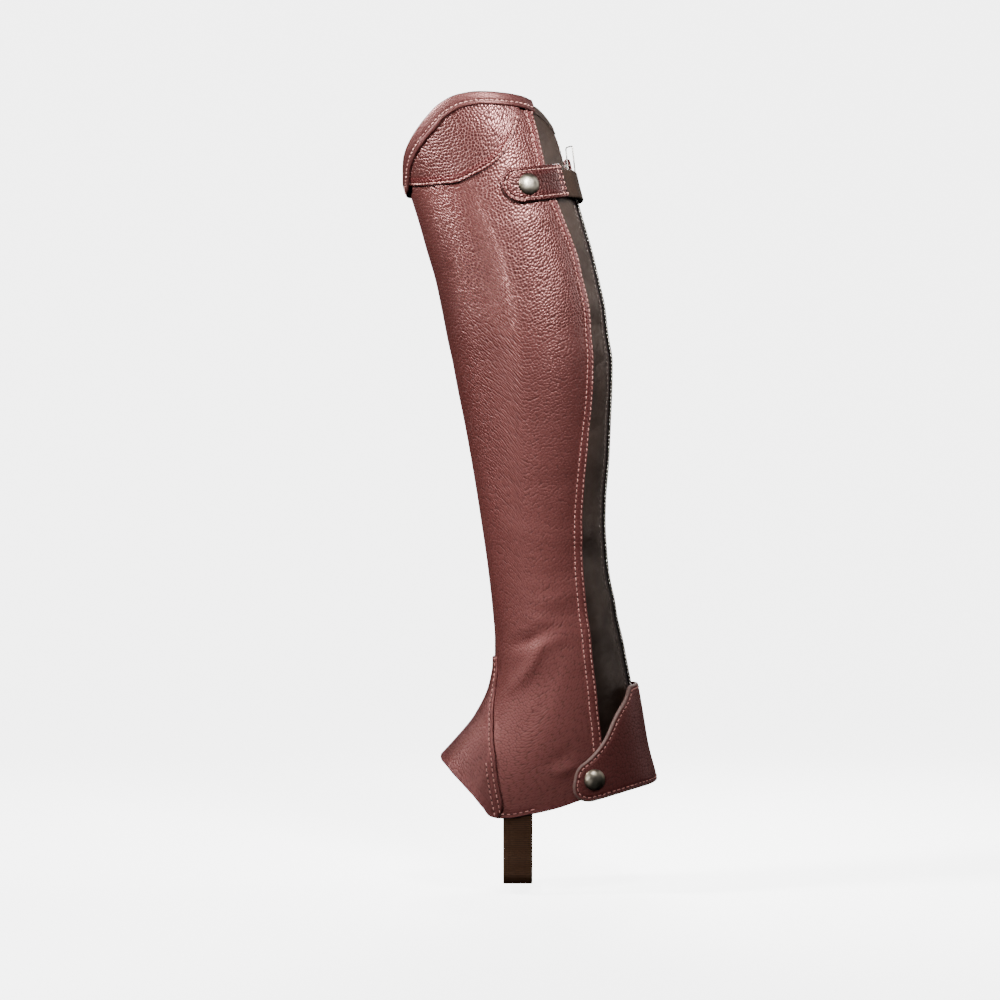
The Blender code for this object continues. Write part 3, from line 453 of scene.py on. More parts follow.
def build_mesh(name, points, faces, uv=None):
    """A mesh from points in millimetres; its UV map, given point by point, is stored in metres."""
    mesh = bpy.data.meshes.new(name)
    mesh.from_pydata((points.reshape(-1, 3) * MM).tolist(), [], faces)
    if uv is not None:
        corners = np.empty(len(mesh.loops), dtype=np.int32)
        mesh.loops.foreach_get("vertex_index", corners)
        layer = mesh.uv_layers.new(name=UV_NAME)
        layer.data.foreach_set("uv", (np.asarray(uv).reshape(-1, 2)[corners] * MM).astype(np.float32).ravel())
    return mesh


def face_outwards(mesh):
    shape = bmesh.new()
    shape.from_mesh(mesh)
    bmesh.ops.recalc_face_normals(shape, faces=shape.faces)
    shape.to_mesh(mesh)
    shape.free()


def nearest(points, line_points):
    """Distance from each point to the nearest of a line's points."""
    tree = KDTree(len(line_points))
    for k, point in enumerate(line_points):
        tree.insert(point, k)
    tree.balance()
    return np.array([tree.find(point)[2] for point in points])


def thickened(points, parts=6):
    """A closed or open run of points with more of them between."""
    share = np.linspace(0, 1, parts, endpoint=False)[None, :, None]
    run = points[:-1, None] * (1 - share) + points[1:, None] * share
    return np.concatenate((run.reshape(-1, 3), points[-1:]))


Grid = namedtuple("Grid", "angles heights across up")


def make_grid(columns, rows, low, high):
    """Crosses column lines (angle at a height) with row lines (height at an angle).
    Low and high are a first guess at the heights, and the crossings settle in a few passes."""
    heights = np.tile(np.linspace(low, high, len(rows)), (len(columns), 1))
    for _ in range(7):
        angles = np.stack([line(heights[i]) for i, line in enumerate(columns)])
        heights = np.stack([line(angles[:, j]) for j, line in enumerate(rows)], axis=1)
    surface = leg(angles, heights, LEATHER)
    across = np.zeros(angles.shape)
    across[1:] = np.cumsum(np.linalg.norm(np.diff(surface, axis=0), axis=-1), axis=0)
    up = np.zeros(angles.shape)
    up[:, 1:] = np.cumsum(np.linalg.norm(np.diff(surface, axis=1), axis=-1), axis=1)
    return Grid(angles, heights, across, up)


def grooves(surface, rows, depth, width):
    """How deep the stitch rows pull the cloth in at each point."""
    if not rows:
        return np.zeros(len(surface))
    line_points = np.concatenate([thickened(leg(*row, LEATHER), 2) for row in rows])
    distance = nearest(surface, line_points)
    return depth * np.exp(-(distance / width) ** 2)


Edge = namedtuple("Edge", "radius thin raw")    # rounding, share of thickness at the rim, raw band


def shell(name, grid, inner, outer, materials, edge=Edge(0.9, 0.35, 0.45), rows=(), groove=(0.3, 0.8)):
    """A closed cloth shell on a grid, with worn edges and grooves at its stitch rows.
    Slot 0 is its face, and slot 1 its cut edge."""
    shape = grid.angles.shape
    surface = leg(grid.angles, grid.heights, LEATHER).reshape(-1, 3)
    index = np.arange(surface.shape[0]).reshape(shape)
    border = np.concatenate((index[:, 0], index[-1, :], index[::-1, -1], index[0, ::-1]))
    distance = nearest(surface, thickened(surface[border], 5))
    around = np.clip(distance / edge.radius, 0, 1)
    profile = edge.thin + (1 - edge.thin) * np.sqrt(1 - (1 - around) ** 2)
    inner = np.broadcast_to(inner, shape).ravel()
    outer = np.broadcast_to(outer, shape).ravel()
    dip = grooves(surface, rows, *groove)
    flat_angles, flat_heights = grid.angles.ravel(), grid.heights.ravel()
    outside = leg(flat_angles, flat_heights, inner + (outer - inner) * profile - dip)
    inside = leg(flat_angles, flat_heights, inner)
    count = len(surface)
    a, b, c, d = index[:-1, :-1], index[1:, :-1], index[1:, 1:], index[:-1, 1:]
    front = np.stack((a, b, c, d), -1).reshape(-1, 4)
    ring = border[np.concatenate(([True], np.diff(border) != 0))]
    after = np.roll(ring, -1)
    keep = ring != after
    walls = np.stack((ring[keep], ring[keep] + count, after[keep] + count, after[keep]), -1)
    faces = np.concatenate((front, front[:, ::-1] + count, walls))
    raw = distance[front].mean(axis=1) < edge.raw
    slots = np.concatenate((raw, np.zeros(len(front), bool), np.ones(len(walls), bool)))
    cut = np.stack((grid.across, grid.up), -1).reshape(-1, 2)
    mesh = build_mesh(name, np.concatenate((outside, inside)), faces.tolist(), np.tile(cut, (2, 1)))
    mesh.polygons.foreach_set("material_index", slots.astype(np.int32))
    from_edge = mesh.attributes.new("edge", "FLOAT", "POINT")
    from_edge.data.foreach_set("value", np.tile(distance, 2).astype(np.float32))
    face_outwards(mesh)
    return finished(name, mesh, materials)


def ring_mesh(name, rings, closed, materials, uv=None):
    """A tube of rings of points; an open one has its ends filled."""
    rings = np.asarray(rings)
    length, sides = rings.shape[:2]
    index = np.arange(length * sides).reshape(length, sides).tolist()
    last = length if closed else length - 1
    faces = []
    for r in range(last):
        here, there = index[r], index[(r + 1) % length]
        faces += [(here[k], here[(k + 1) % sides], there[(k + 1) % sides], there[k]) for k in range(sides)]
    if not closed:
        faces += [tuple(index[0][::-1]), tuple(index[-1])]
    mesh = build_mesh(name, rings, faces, uv)
    face_outwards(mesh)
    return finished(name, mesh, materials)


def wire(name, path, radii, sides, closed, materials, up):
    """A wire or flat strip along a path: radii across the path, and along the up direction."""
    path = np.asarray(path, float)
    ahead = np.roll(path, -1, axis=0) - np.roll(path, 1, axis=0)
    if not closed:
        ahead[0], ahead[-1] = path[1] - path[0], path[-1] - path[-2]
    ahead /= np.linalg.norm(ahead, axis=1, keepdims=True)
    side = np.cross(ahead, np.asarray(up, float))
    side /= np.linalg.norm(side, axis=1, keepdims=True)
    normal = np.cross(side, ahead)
    turn = np.linspace(0, 2 * math.pi, sides, endpoint=False)
    rings = (path[:, None] + side[:, None] * (np.cos(turn) * radii[0])[None, :, None]
             + normal[:, None] * (np.sin(turn) * radii[1])[None, :, None])
    return ring_mesh(name, rings, closed, materials)


def joined(name, parts):
    """One object from several, with its materials kept."""
    bpy.ops.object.select_all(action="DESELECT")
    for part in parts:
        part.select_set(True)
    bpy.context.view_layer.objects.active = parts[0]
    bpy.ops.object.join()
    parts[0].name = name
    parts[0].data.name = name
    return parts[0]


# ---------------------------------------------------------------- shaders
BLACK = (0.0, 0.0, 0.0)


class Value:
    """A number in a shader; arithmetic on it adds Math nodes."""

    def __init__(self, shader, socket):
        self.shader = shader
        self.socket = socket

    def __add__(self, other):
        return self.shader.math("ADD", self, other)

    def __sub__(self, other):
        return self.shader.math("SUBTRACT", self, other)

    def __rsub__(self, other):
        return self.shader.math("SUBTRACT", other, self)

    def __mul__(self, other):
        return self.shader.math("MULTIPLY", self, other)

    def __truediv__(self, other):
        return self.shader.math("DIVIDE", self, other)

    def __pow__(self, other):
        return self.shader.math("POWER", self, other)

    __radd__ = __add__
    __rmul__ = __mul__


class Shader:
    """A material whose nodes are added by calls."""

    def __init__(self, name):
        self.material = bpy.data.materials.new(name)
        self.material.use_nodes = True
        self.tree = self.material.node_tree
        self.surface = self.tree.nodes["Principled BSDF"]

    def add(self, kind, settings=None, **inputs):
        node = self.tree.nodes.new(kind)
        for key, value in (settings or {}).items():
            setattr(node, key, value)
        for key, value in inputs.items():
            self.set(node.inputs[key.replace("_", " ")], value)
        return node

    def set(self, socket, value):
        if isinstance(value, Value):
            value = value.socket
        if isinstance(value, bpy.types.NodeSocket):
            self.tree.links.new(value, socket)
        elif isinstance(value, tuple) and len(value) == 3 and len(getattr(socket, "default_value", ())) == 4:
            socket.default_value = (*value, 1.0)
        else:
            socket.default_value = value

    def math(self, operation, first, second):
        node = self.tree.nodes.new("ShaderNodeMath")
        node.operation = operation
        self.set(node.inputs[0], first)
        self.set(node.inputs[1], second)
        return Value(self, node.outputs[0])

    def number(self, socket):
        return Value(self, socket)

    def ramp(self, value, low, high, to_low=0.0, to_high=1.0):
        """A smooth step of a value from one range to another."""
        node = self.add("ShaderNodeMapRange", {"interpolation_type": "SMOOTHSTEP"}, Value=value,
                        From_Min=low, From_Max=high, To_Min=to_low, To_Max=to_high)
        return Value(self, node.outputs[0])

    def colours(self, factor, first, second):
        node = self.add("ShaderNodeMix", {"data_type": "RGBA"})
        self.set(node.inputs[0], factor)
        self.set(node.inputs[6], first)
        self.set(node.inputs[7], second)
        return node.outputs[2]

    def with_painted_shade(self, colour, tone):
        """Painted shade: a colour kept to a share of its lightness."""
        return self.colours(1.0 - tone, colour, BLACK)

    def cut(self, stretch=(1.0, 1.0)):
        """The piece's own UV map, in millimetres."""
        uv = self.add("ShaderNodeUVMap", {"uv_map": UV_NAME})
        mapping = self.add("ShaderNodeVectorMath", {"operation": "MULTIPLY"})
        self.set(mapping.inputs[0], uv.outputs[0])
        self.set(mapping.inputs[1], (stretch[0] / MM, stretch[1] / MM, 0.0))
        return mapping.outputs[0]

    def place(self):
        """The point on the object, in metres."""
        return self.add("ShaderNodeTexCoord").outputs["Object"]

    def part(self, vector, axis):
        """One of a vector's three numbers."""
        split = self.add("ShaderNodeSeparateXYZ")
        self.set(split.inputs[0], vector)
        return self.number(split.outputs[axis])

    def mask(self, name):
        return self.number(self.add("ShaderNodeAttribute", {"attribute_name": name}).outputs["Fac"])

    def noise(self, vector, scale, detail=3.0, dimensions="2D"):
        node = self.add("ShaderNodeTexNoise", {"noise_dimensions": dimensions}, Vector=vector, Scale=scale,
                        Detail=detail)
        return self.number(node.outputs[0])

    def bands(self, direction, vector, scale, distortion=0.0):
        """Parallel ribs, counted along a direction."""
        node = self.add("ShaderNodeTexWave", {"wave_type": "BANDS", "bands_direction": direction},
                        Vector=vector, Scale=scale, Distortion=distortion)
        return self.number(node.outputs[1])

    def warped(self, vector, scale, amount):
        """A vector pushed about by noise."""
        noise = self.add("ShaderNodeTexNoise", {"noise_dimensions": "2D"}, Vector=vector, Scale=scale,
                         Detail=2.0)
        centred = self.add("ShaderNodeVectorMath", {"operation": "SUBTRACT"})
        self.set(centred.inputs[0], noise.outputs[1])
        self.set(centred.inputs[1], (0.5, 0.5, 0.5))
        pushed = self.add("ShaderNodeVectorMath", {"operation": "SCALE"})
        self.set(pushed.inputs[0], centred.outputs[0])
        self.set(pushed.inputs["Scale"], amount)
        total = self.add("ShaderNodeVectorMath", {"operation": "ADD"})
        self.set(total.inputs[0], vector)
        self.set(total.inputs[1], pushed.outputs[0])
        return total.outputs[0]

    def pebbles(self, vector, size):
        """Grain of rounded pebbles: their domes, and the creases between them where it falls to 0."""
        flat = {"voronoi_dimensions": "2D"}
        cells = {"Vector": vector, "Scale": 1.0 / size, "Randomness": 0.8}
        creases = self.add("ShaderNodeTexVoronoi", {**flat, "feature": "DISTANCE_TO_EDGE"}, **cells)
        middles = self.add("ShaderNodeTexVoronoi", flat, **cells)
        dome = 1.0 - (self.number(middles.outputs["Distance"]) / 0.72) ** 2.0
        return dome, self.ramp(self.number(creases.outputs[0]), 0.0, 0.2)

    def finish(self, colour, roughness, height=None, relief=0.1, **constants):
        """Feeds the surface and returns the material; relief is the height's depth in millimetres."""
        self.set(self.surface.inputs["Base Color"], colour)
        self.set(self.surface.inputs["Roughness"], roughness)
        if height is not None:
            bump = self.add("ShaderNodeBump", None, Height=height, Distance=relief * MM, Strength=1.0)
            self.set(self.surface.inputs["Normal"], bump.outputs[0])
        for key, value in constants.items():
            self.surface.inputs[key.replace("_", " ")].default_value = value
        return self.material


RED_GLOSS = (1.0, 0.46, 0.43, 1.0)
BROWN_GLOSS = (1.0, 0.74, 0.6, 1.0)
LOW_LEATHER = (0.06, -0.17)     # heights in metres, between which the leather turns matt and plain

# Leathers of one hide. grain and relief are shares of its own, the next is the share of its lightness and
# gloss kept under painted shade, which darkens the knee piece, tab and binding, fade is how much of the
# change low on the leg it takes, and matt is added to its roughness.
Hide = namedtuple("Hide", "name grain relief tone fade matt")
HIDES = {
    "leather": Hide("oxblood_leather", 1.0, 1.0, 1.0, 1.0, 0.0),
    "overlay": Hide("oxblood_overlay", 1.0, 1.0, 0.68, 0.0, 0.0),
    "instep": Hide("oxblood_instep", 1.0, 1.0, 1.0, 0.7, 0.0),
    "tab": Hide("oxblood_tab", 0.95, 1.0, 0.45, 0.0, 0.0),
    "binding": Hide("oxblood_binding", 0.6, 0.5, 0.55, 0.0, 0.12),
}


def leather_finish(hide, look):
    """Pebbled leather, with painted highlights on the pebble tops and painted shade in the crevices between
    them, redder along its sewn edges, and plain and matt low on the leg, where its colour is lightened as
    painted light.
    """
    shader = Shader(hide.name)
    cut = shader.cut()
    low = shader.ramp(shader.part(shader.place(), 2), *LOW_LEATHER) * hide.fade
    dome, crease = shader.pebbles(shader.warped(cut, 0.3, 0.7), look.grain * hide.grain)
    pebble = dome * 0.75 + crease * 0.25
    drawn = shader.noise(cut, 0.7, 3.0)
    swell = shader.noise(cut, 0.09, 2.0)
    strength = (1.0 - low * 0.2) * shader.ramp(shader.noise(cut, 0.045, 3.0), 0.25, 0.7, 0.9, 1.0)
    height = pebble * strength + drawn * (0.03 + low * 0.12) + swell * 0.5
    shown = (dome * 0.4 + crease * 0.6) * strength + (1.0 - strength) * 0.6
    cloudy = shader.noise(cut, 0.02, 4.0)
    # Painted shade: the crevices between the pebbles are coloured darker than their sides.
    colour = shader.colours(shader.ramp(shown, 0.15, 0.55), tuple(look.crevice_shade_colour), tuple(look.colour))
    # Painted highlight: the pebble tops are coloured lighter where the lamps would glint on them.
    highlit_crowns = shader.ramp(shown, 0.5, 0.95) * (1.0 - low * 0.6)
    colour = shader.colours(highlit_crowns, colour, tuple(look.crown_highlight_colour))
    colour = shader.colours(shader.ramp(cloudy, 0.35, 0.7, 0.0, 0.4), colour, tuple(look.cloud_colour))
    seam = shader.ramp(shader.mask("edge"), 6.6, 5.6) * shader.ramp(shader.mask("edge"), 0.3, 1.2, 0.3, 0.7)
    colour = shader.colours(seam, colour, tuple(look.seam_colour))
    # Painted light: low on the leg the colour turns lighter, making up for the gloss and lamp light that the
    # lower leg lacks.
    colour = shader.colours(low * (0.55 + dome * 0.3), colour, tuple(look.low_painted_light_colour))
    # Painted shade: the knee piece, tab and binding are this hide kept to a share of its lightness and gloss.
    colour = shader.with_painted_shade(colour, hide.tone)
    roughness = shader.ramp(shown, 0.0, 0.9, look.roughness + 0.34, look.roughness) + (cloudy - 0.5) * 0.06
    return shader.finish(colour, roughness + low * 0.3 + hide.matt, height, look.relief * hide.relief,
                         Specular_IOR_Level=look.gloss * hide.tone, Specular_Tint=RED_GLOSS)


def raw_edge_finish(name, fibre, stain):
    """The cut edge of leather: paler fibres under a thin stain."""
    shader = Shader(name)
    fibres = shader.noise(shader.cut(), 1.6, 5.0)
    colour = shader.colours(shader.ramp(fibres, 0.3, 0.7), tuple(stain), tuple(fibre))
    return shader.finish(colour, 0.7, fibres, 0.15)


def stretch_finish(look):
    """Coated stretch cloth: fine ribs under a satin face."""
    shader = Shader("brown_stretch")
    cut = shader.cut()
    ribs = shader.bands("X", shader.warped(cut, 0.8, 0.15), 0.55)
    cloud = shader.noise(cut, 0.03, 3.0)
    soft = shader.noise(shader.cut(stretch=(0.5, 1.0)), 0.11, 3.0)
    # Lighter in soft random blotches over the panel.
    colour = shader.colours(shader.ramp(cloud, 0.3, 0.7), tuple(look.colour), tuple(look.blotch_colour))
    roughness = shader.ramp(soft, 0.3, 0.7, look.roughness, look.roughness + 0.12)
    return shader.finish(colour, roughness, ribs * 0.12 + soft, 0.5, Specular_IOR_Level=0.42,
                         Specular_Tint=BROWN_GLOSS)


def webbing_finish(name, look, tone=1.0):
    """Elastic webbing: ribs across it, with finer threads along it, and painted shade on the low threads
    between the ribs; a share below one darkens all of it as painted shade.
    """
    shader = Shader(name)
    cut = shader.cut()
    ribs = shader.bands("Y", shader.warped(cut, 0.9, 0.12), 1.0 / look.rib / 3.6)
    ends = shader.bands("X", cut, 0.42, 0.4)
    fuzz = shader.noise(cut, 2.2, 4.0)
    weave = ribs * 0.7 + ends * 0.3
    # Painted shade: the low threads between the ribs are coloured darker.
    colour = shader.colours(weave * 0.8 + fuzz * 0.2, tuple(look.groove_shade_colour), tuple(look.colour))
    return shader.finish(shader.with_painted_shade(colour, tone), 0.75, weave + fuzz * 0.3, 0.25, Specular_IOR_Level=0.2)


def tape_finish():
    """Zip tape: a close slanting weave, with painted shade on its low threads."""
    shader = Shader("zip_tape")
    weave = shader.bands("DIAGONAL", shader.cut(), 0.5)
    # Painted shade: the weave's low threads are coloured darker.
    colour = shader.colours(weave, (0.008, 0.005, 0.004), (0.024, 0.015, 0.012))
    return shader.finish(colour, 0.75, weave, 0.12, Specular_IOR_Level=0.2)


def thread_finish(look):
    """Waxed thread with a visible ply."""
    shader = Shader("pink_thread")
    place = shader.place()
    fibres = shader.noise(place, 2600.0, 2.0, "3D")
    soiled = shader.ramp(shader.noise(place, 160.0, 2.0, "3D"), 0.3, 0.7, 0.0, 0.6)
    colour = shader.colours(soiled, tuple(look.colour), tuple(look.soiled_colour))
    return shader.finish(colour, 0.6, fibres, 0.05, Specular_IOR_Level=0.3)


def plain_thread_finish(name, colour):
    """Thread of one colour."""
    shader = Shader(name)
    return shader.finish(colour, 0.6, shader.noise(shader.place(), 2600.0, 2.0, "3D"), 0.05)


def hole_shade_finish():
    """Painted shade for a needle hole: a dark colour for a flat disc."""
    return Shader("needle_hole").finish((0.02, 0.006, 0.005), 0.9)


def metal_finish(name, colour, dark, roughness, wear):
    """Plated metal: brushed, with tarnish in patches."""
    shader = Shader(name)
    place = shader.place()
    patches = shader.noise(place, 330.0, 5.0, "3D")
    scratches = shader.noise(place, 2400.0, 3.0, "3D")
    tarnish = shader.ramp(patches, 0.62 - wear, 0.7, 1.0, 0.0) * wear
    colour = shader.colours(tarnish, colour, dark)
    rough = shader.ramp(patches, 0.3, 0.7, roughness + 0.14, roughness)
    return shader.finish(colour, rough, scratches, 0.02, Metallic=1.0)


def snap_finish(name, look, tone=1.0):
    """Antique nickel, tarnished in patches, with a dark ring of painted shade at the dome's rim."""
    shader = Shader(name)
    from_middle = shader.part(shader.cut(), 1) / SNAP_RADIUS
    place = shader.place()
    patches = shader.noise(place, 260.0, 4.0, "3D")
    brushed = shader.noise(place, 1900.0, 3.0, "3D")
    # Painted shade: the dome darkens towards its rim.
    rim = shader.ramp(from_middle + (patches - 0.5) * 0.35, 0.55, 1.0)
    dull = shader.ramp(patches, 0.4, 0.65)
    body = shader.colours(dull * 0.55, tuple(look.colour), tuple(look.tarnish))
    colour = shader.with_painted_shade(shader.colours(rim * 0.9, body, tuple(look.rim_shade_colour)), tone)
    return shader.finish(colour, shader.ramp(patches, 0.3, 0.7, 0.48, 0.34), brushed, 0.03, Metallic=1.0)


def paper_finish(look):
    """Lit paper, with its own glow."""
    shader = Shader("pale_paper")
    fleck = shader.noise(shader.place(), 3.0, 2.0, "3D")
    colour = shader.colours(fleck * 0.3, tuple(look.floor_colour), (0.9, 0.9, 0.9))
    return shader.finish(colour, 0.95, Emission_Color=(1.0, 1.0, 1.0, 1.0), Emission_Strength=look.backdrop)


MATERIALS = {}


def finish_of(name):
    """One of the half chap's finishes, made when it is first asked for."""
    if name not in MATERIALS:
        looks = bpy.context.scene.half_chap_looks
        leather = looks.leather
        makers = {
            "edge": lambda: raw_edge_finish("leather_edge", leather.edge_colour, leather.edge_dark),
            # Partly real dye and partly painted shade: the cut edges and a thin band along them take the
            # crevice colour, standing in for the shadow line along each piece's edge.
            "dark_edge": lambda: raw_edge_finish("dyed_edge", leather.crevice_shade_colour, leather.crevice_shade_colour),
            "stretch": lambda: stretch_finish(looks.stretch),
            "webbing": lambda: webbing_finish("brown_webbing", looks.webbing),
            # Painted shade: the top strap is the stirrup's webbing kept to three tenths of its lightness.
            "strap": lambda: webbing_finish("brown_strap", looks.webbing, 0.3),
            "tape": tape_finish,
            "thread": lambda: thread_finish(looks.thread),
            "dark_thread": lambda: plain_thread_finish("brown_thread", (0.045, 0.03, 0.024)),
            "hole": hole_shade_finish,
            "zip": lambda: metal_finish("zip_metal", (0.62, 0.6, 0.57), (0.12, 0.1, 0.09), 0.2, 0.25),
            "teeth": lambda: metal_finish("zip_tooth_metal", (0.34, 0.31, 0.28), (0.05, 0.04, 0.035),
                                          0.24, 0.5),
            "snap": lambda: snap_finish("antique_nickel", looks.snap),
            # Painted shade: the top snap is the same nickel kept to six tenths of its lightness.
            "top_snap": lambda: snap_finish("dull_nickel", looks.snap, 0.6),
            "paper": lambda: paper_finish(looks.stage),
        }
        MATERIALS[name] = leather_finish(HIDES[name], leather) if name in HIDES else makers[name]()
    return MATERIALS[name]


# ---------------------------------------------------------------- geometry nodes
def node_tree(name, inputs):
    """A geometry tree with one mesh in and out, and named inputs beside it."""
    tree = bpy.data.node_groups.new(name, "GeometryNodeTree")
    tree.interface.new_socket(name="Geometry", in_out="INPUT", socket_type="NodeSocketGeometry")
    for label, kind, default in inputs:
        socket = tree.interface.new_socket(name=label, in_out="INPUT", socket_type=kind)
        if default is not None:
            socket.default_value = default
    tree.interface.new_socket(name="Geometry", in_out="OUTPUT", socket_type="NodeSocketGeometry")
    return tree


class Nodes:
    """Adds nodes to a geometry tree and links them by value."""

    def __init__(self, tree):
        self.tree = tree
        self.source = tree.nodes.new("NodeGroupInput").outputs

    def add(self, kind, settings=None, **inputs):
        node = self.tree.nodes.new(kind)
        for key, value in (settings or {}).items():
            setattr(node, key, value)
        for key, value in inputs.items():
            self.set(node.inputs[key.replace("_", " ")], value)
        return node

    def set(self, socket, value):
        if isinstance(value, bpy.types.NodeSocket):
            self.tree.links.new(value, socket)
        else:
            socket.default_value = value

    def math(self, operation, *values):
        node = self.tree.nodes.new("ShaderNodeMath")
        node.operation = operation
        for socket, value in zip(node.inputs, values):
            self.set(socket, value)
        return node.outputs[0]

    def vector(self, x, y, z):
        node = self.tree.nodes.new("ShaderNodeCombineXYZ")
        for socket, value in zip(node.inputs, (x, y, z)):
            self.set(socket, value)
        return node.outputs[0]

    def placed(self, path, instance, tangent_sign=None, scale=None):
        """Instances along a path, X along it and Z along the stored up direction."""
        tangent = self.tree.nodes.new("GeometryNodeInputTangent").outputs[0]
        if tangent_sign is not None:
            flip = self.add("ShaderNodeVectorMath", {"operation": "SCALE"})
            self.set(flip.inputs[0], tangent)
            self.set(flip.inputs["Scale"], tangent_sign)
            tangent = flip.outputs[0]
        up = self.add("GeometryNodeInputNamedAttribute", {"data_type": "FLOAT_VECTOR"}, Name="up").outputs[0]
        turn = self.add("FunctionNodeAxesToRotation", {"primary_axis": "Z", "secondary_axis": "X"},
                        Primary_Axis=up, Secondary_Axis=tangent)
        spots = self.add("GeometryNodeInstanceOnPoints", None, Points=path, Instance=instance,
                         Rotation=turn.outputs[0])
        if scale is not None:
            self.set(spots.inputs["Scale"], scale)
        return self.add("GeometryNodeRealizeInstances", None, Geometry=spots.outputs[0]).outputs[0]

    def output(self, geometry):
        end = self.tree.nodes.new("NodeGroupOutput")
        self.set(end.inputs[0], geometry)


def stitch_tree():
    """Stitches along every line of a mesh: an arch of thread for each, and at its end a dark disc of painted
    shade for the needle hole.
    """
    tree = node_tree("Stitches", (
        ("Pitch", "NodeSocketFloat", 0.0033), ("Length", "NodeSocketFloat", 0.0026),
        ("Thickness", "NodeSocketFloat", 0.0006), ("Rise", "NodeSocketFloat", 0.0003),
        ("Thread", "NodeSocketMaterial", None), ("Hole", "NodeSocketMaterial", None)))
    nodes = Nodes(tree)
    source = nodes.source
    curve = nodes.add("GeometryNodeMeshToCurve", None, Mesh=source["Geometry"]).outputs[0]
    path = nodes.add("GeometryNodeResampleCurve", {"mode": "LENGTH"}, Curve=curve, Length=source["Pitch"])
    half = nodes.math("MULTIPLY", source["Length"], 0.5)
    dive = nodes.math("MULTIPLY", source["Thickness"], -0.7)
    crest = nodes.math("MULTIPLY", source["Rise"], 2.0)
    arch = nodes.add("GeometryNodeCurvePrimitiveBezierSegment", None, Resolution=5,
                     Start=nodes.vector(nodes.math("MULTIPLY", half, -1.0), 0.0, dive),
                     Start_Handle=nodes.vector(nodes.math("MULTIPLY", half, -0.8), 0.0, crest),
                     End_Handle=nodes.vector(nodes.math("MULTIPLY", half, 0.8), 0.0, crest),
                     End=nodes.vector(half, 0.0, dive))
    profile = nodes.add("GeometryNodeCurvePrimitiveCircle", None, Resolution=6,
                        Radius=nodes.math("MULTIPLY", source["Thickness"], 0.5))
    thread = nodes.add("GeometryNodeCurveToMesh", None, Curve=arch.outputs[0],
                       Profile_Curve=profile.outputs[0], Fill_Caps=True)
    smooth_thread = nodes.add("GeometryNodeSetShadeSmooth", None, Geometry=thread.outputs[0]).outputs[0]
    uneven = nodes.add("FunctionNodeRandomValue", {"data_type": "FLOAT_VECTOR"}, Seed=7)
    uneven.inputs[0].default_value = (0.9, 0.88, 0.85)
    uneven.inputs[1].default_value = (1.06, 1.12, 1.15)
    stitches = nodes.placed(path.outputs[0], smooth_thread, scale=uneven.outputs[0])
    threaded = nodes.add("GeometryNodeSetMaterial", None, Geometry=stitches,
                         Material=source["Thread"]).outputs[0]
    # Painted shade: a flat dark disc stands in for each needle hole.
    disc = nodes.add("GeometryNodeMeshCircle", {"fill_type": "NGON"}, Vertices=8,
                     Radius=nodes.math("MULTIPLY", source["Thickness"], 0.62))
    half_pitch = nodes.math("MULTIPLY", source["Pitch"], 0.5)
    beside_stitch = nodes.add("GeometryNodeTransform", None, Geometry=disc.outputs[0],
                              Translation=nodes.vector(half_pitch, 0.0, 0.00005))
    pricked = nodes.placed(path.outputs[0], beside_stitch.outputs[0])
    holes = nodes.add("GeometryNodeSetMaterial", None, Geometry=pricked, Material=source["Hole"]).outputs[0]
    both = nodes.add("GeometryNodeJoinGeometry")
    nodes.set(both.inputs[0], holes)
    nodes.set(both.inputs[0], threaded)
    nodes.output(both.outputs[0])
    return tree


def tooth_tree():
    """Zip teeth along a line, left and right in turn: a clamp over the tape's cord and a rounded head."""
    tree = node_tree("Zip teeth", (
        ("Pitch", "NodeSocketFloat", 0.0013), ("Tooth", "NodeSocketFloat", 0.0012),
        ("Reach", "NodeSocketFloat", 0.0028), ("Height", "NodeSocketFloat", 0.0021),
        ("Metal", "NodeSocketMaterial", None)))
    nodes = Nodes(tree)
    source = nodes.source
    curve = nodes.add("GeometryNodeMeshToCurve", None, Mesh=source["Geometry"]).outputs[0]
    path = nodes.add("GeometryNodeResampleCurve", {"mode": "LENGTH"}, Curve=curve, Length=source["Pitch"])

    def share(name, part):
        return nodes.math("MULTIPLY", source[name], part)

    clamp = nodes.add("GeometryNodeMeshCylinder", None, Vertices=8, Radius=0.5, Depth=1.0)
    clamp_placed = nodes.add("GeometryNodeTransform", None, Geometry=clamp.outputs[0],
                             Rotation=(0.0, math.pi / 2, 0.0),
                             Translation=nodes.vector(0.0, share("Reach", 0.66), 0.0),
                             Scale=nodes.vector(source["Tooth"], share("Reach", 0.68), source["Height"]))
    head = nodes.add("GeometryNodeMeshUVSphere", None, Segments=8, Rings=5, Radius=0.5)
    head_placed = nodes.add("GeometryNodeTransform", None, Geometry=head.outputs[0],
                            Translation=nodes.vector(0.0, share("Reach", 0.16), 0.0),
                            Scale=nodes.vector(share("Tooth", 1.05), share("Reach", 0.72),
                                               share("Height", 0.8)))
    tooth = nodes.add("GeometryNodeJoinGeometry")
    nodes.set(tooth.inputs[0], head_placed.outputs[0])
    nodes.set(tooth.inputs[0], clamp_placed.outputs[0])
    soft = nodes.add("GeometryNodeSetShadeSmooth", None, Geometry=tooth.outputs[0]).outputs[0]
    index = nodes.tree.nodes.new("GeometryNodeInputIndex").outputs[0]
    sign = nodes.math("SUBTRACT", nodes.math("MULTIPLY", nodes.math("MODULO", index, 2.0), 2.0), 1.0)
    teeth = nodes.placed(path.outputs[0], soft, tangent_sign=sign)
    metal = nodes.add("GeometryNodeSetMaterial", None, Geometry=teeth, Material=source["Metal"])
    nodes.output(metal.outputs[0])
    return tree


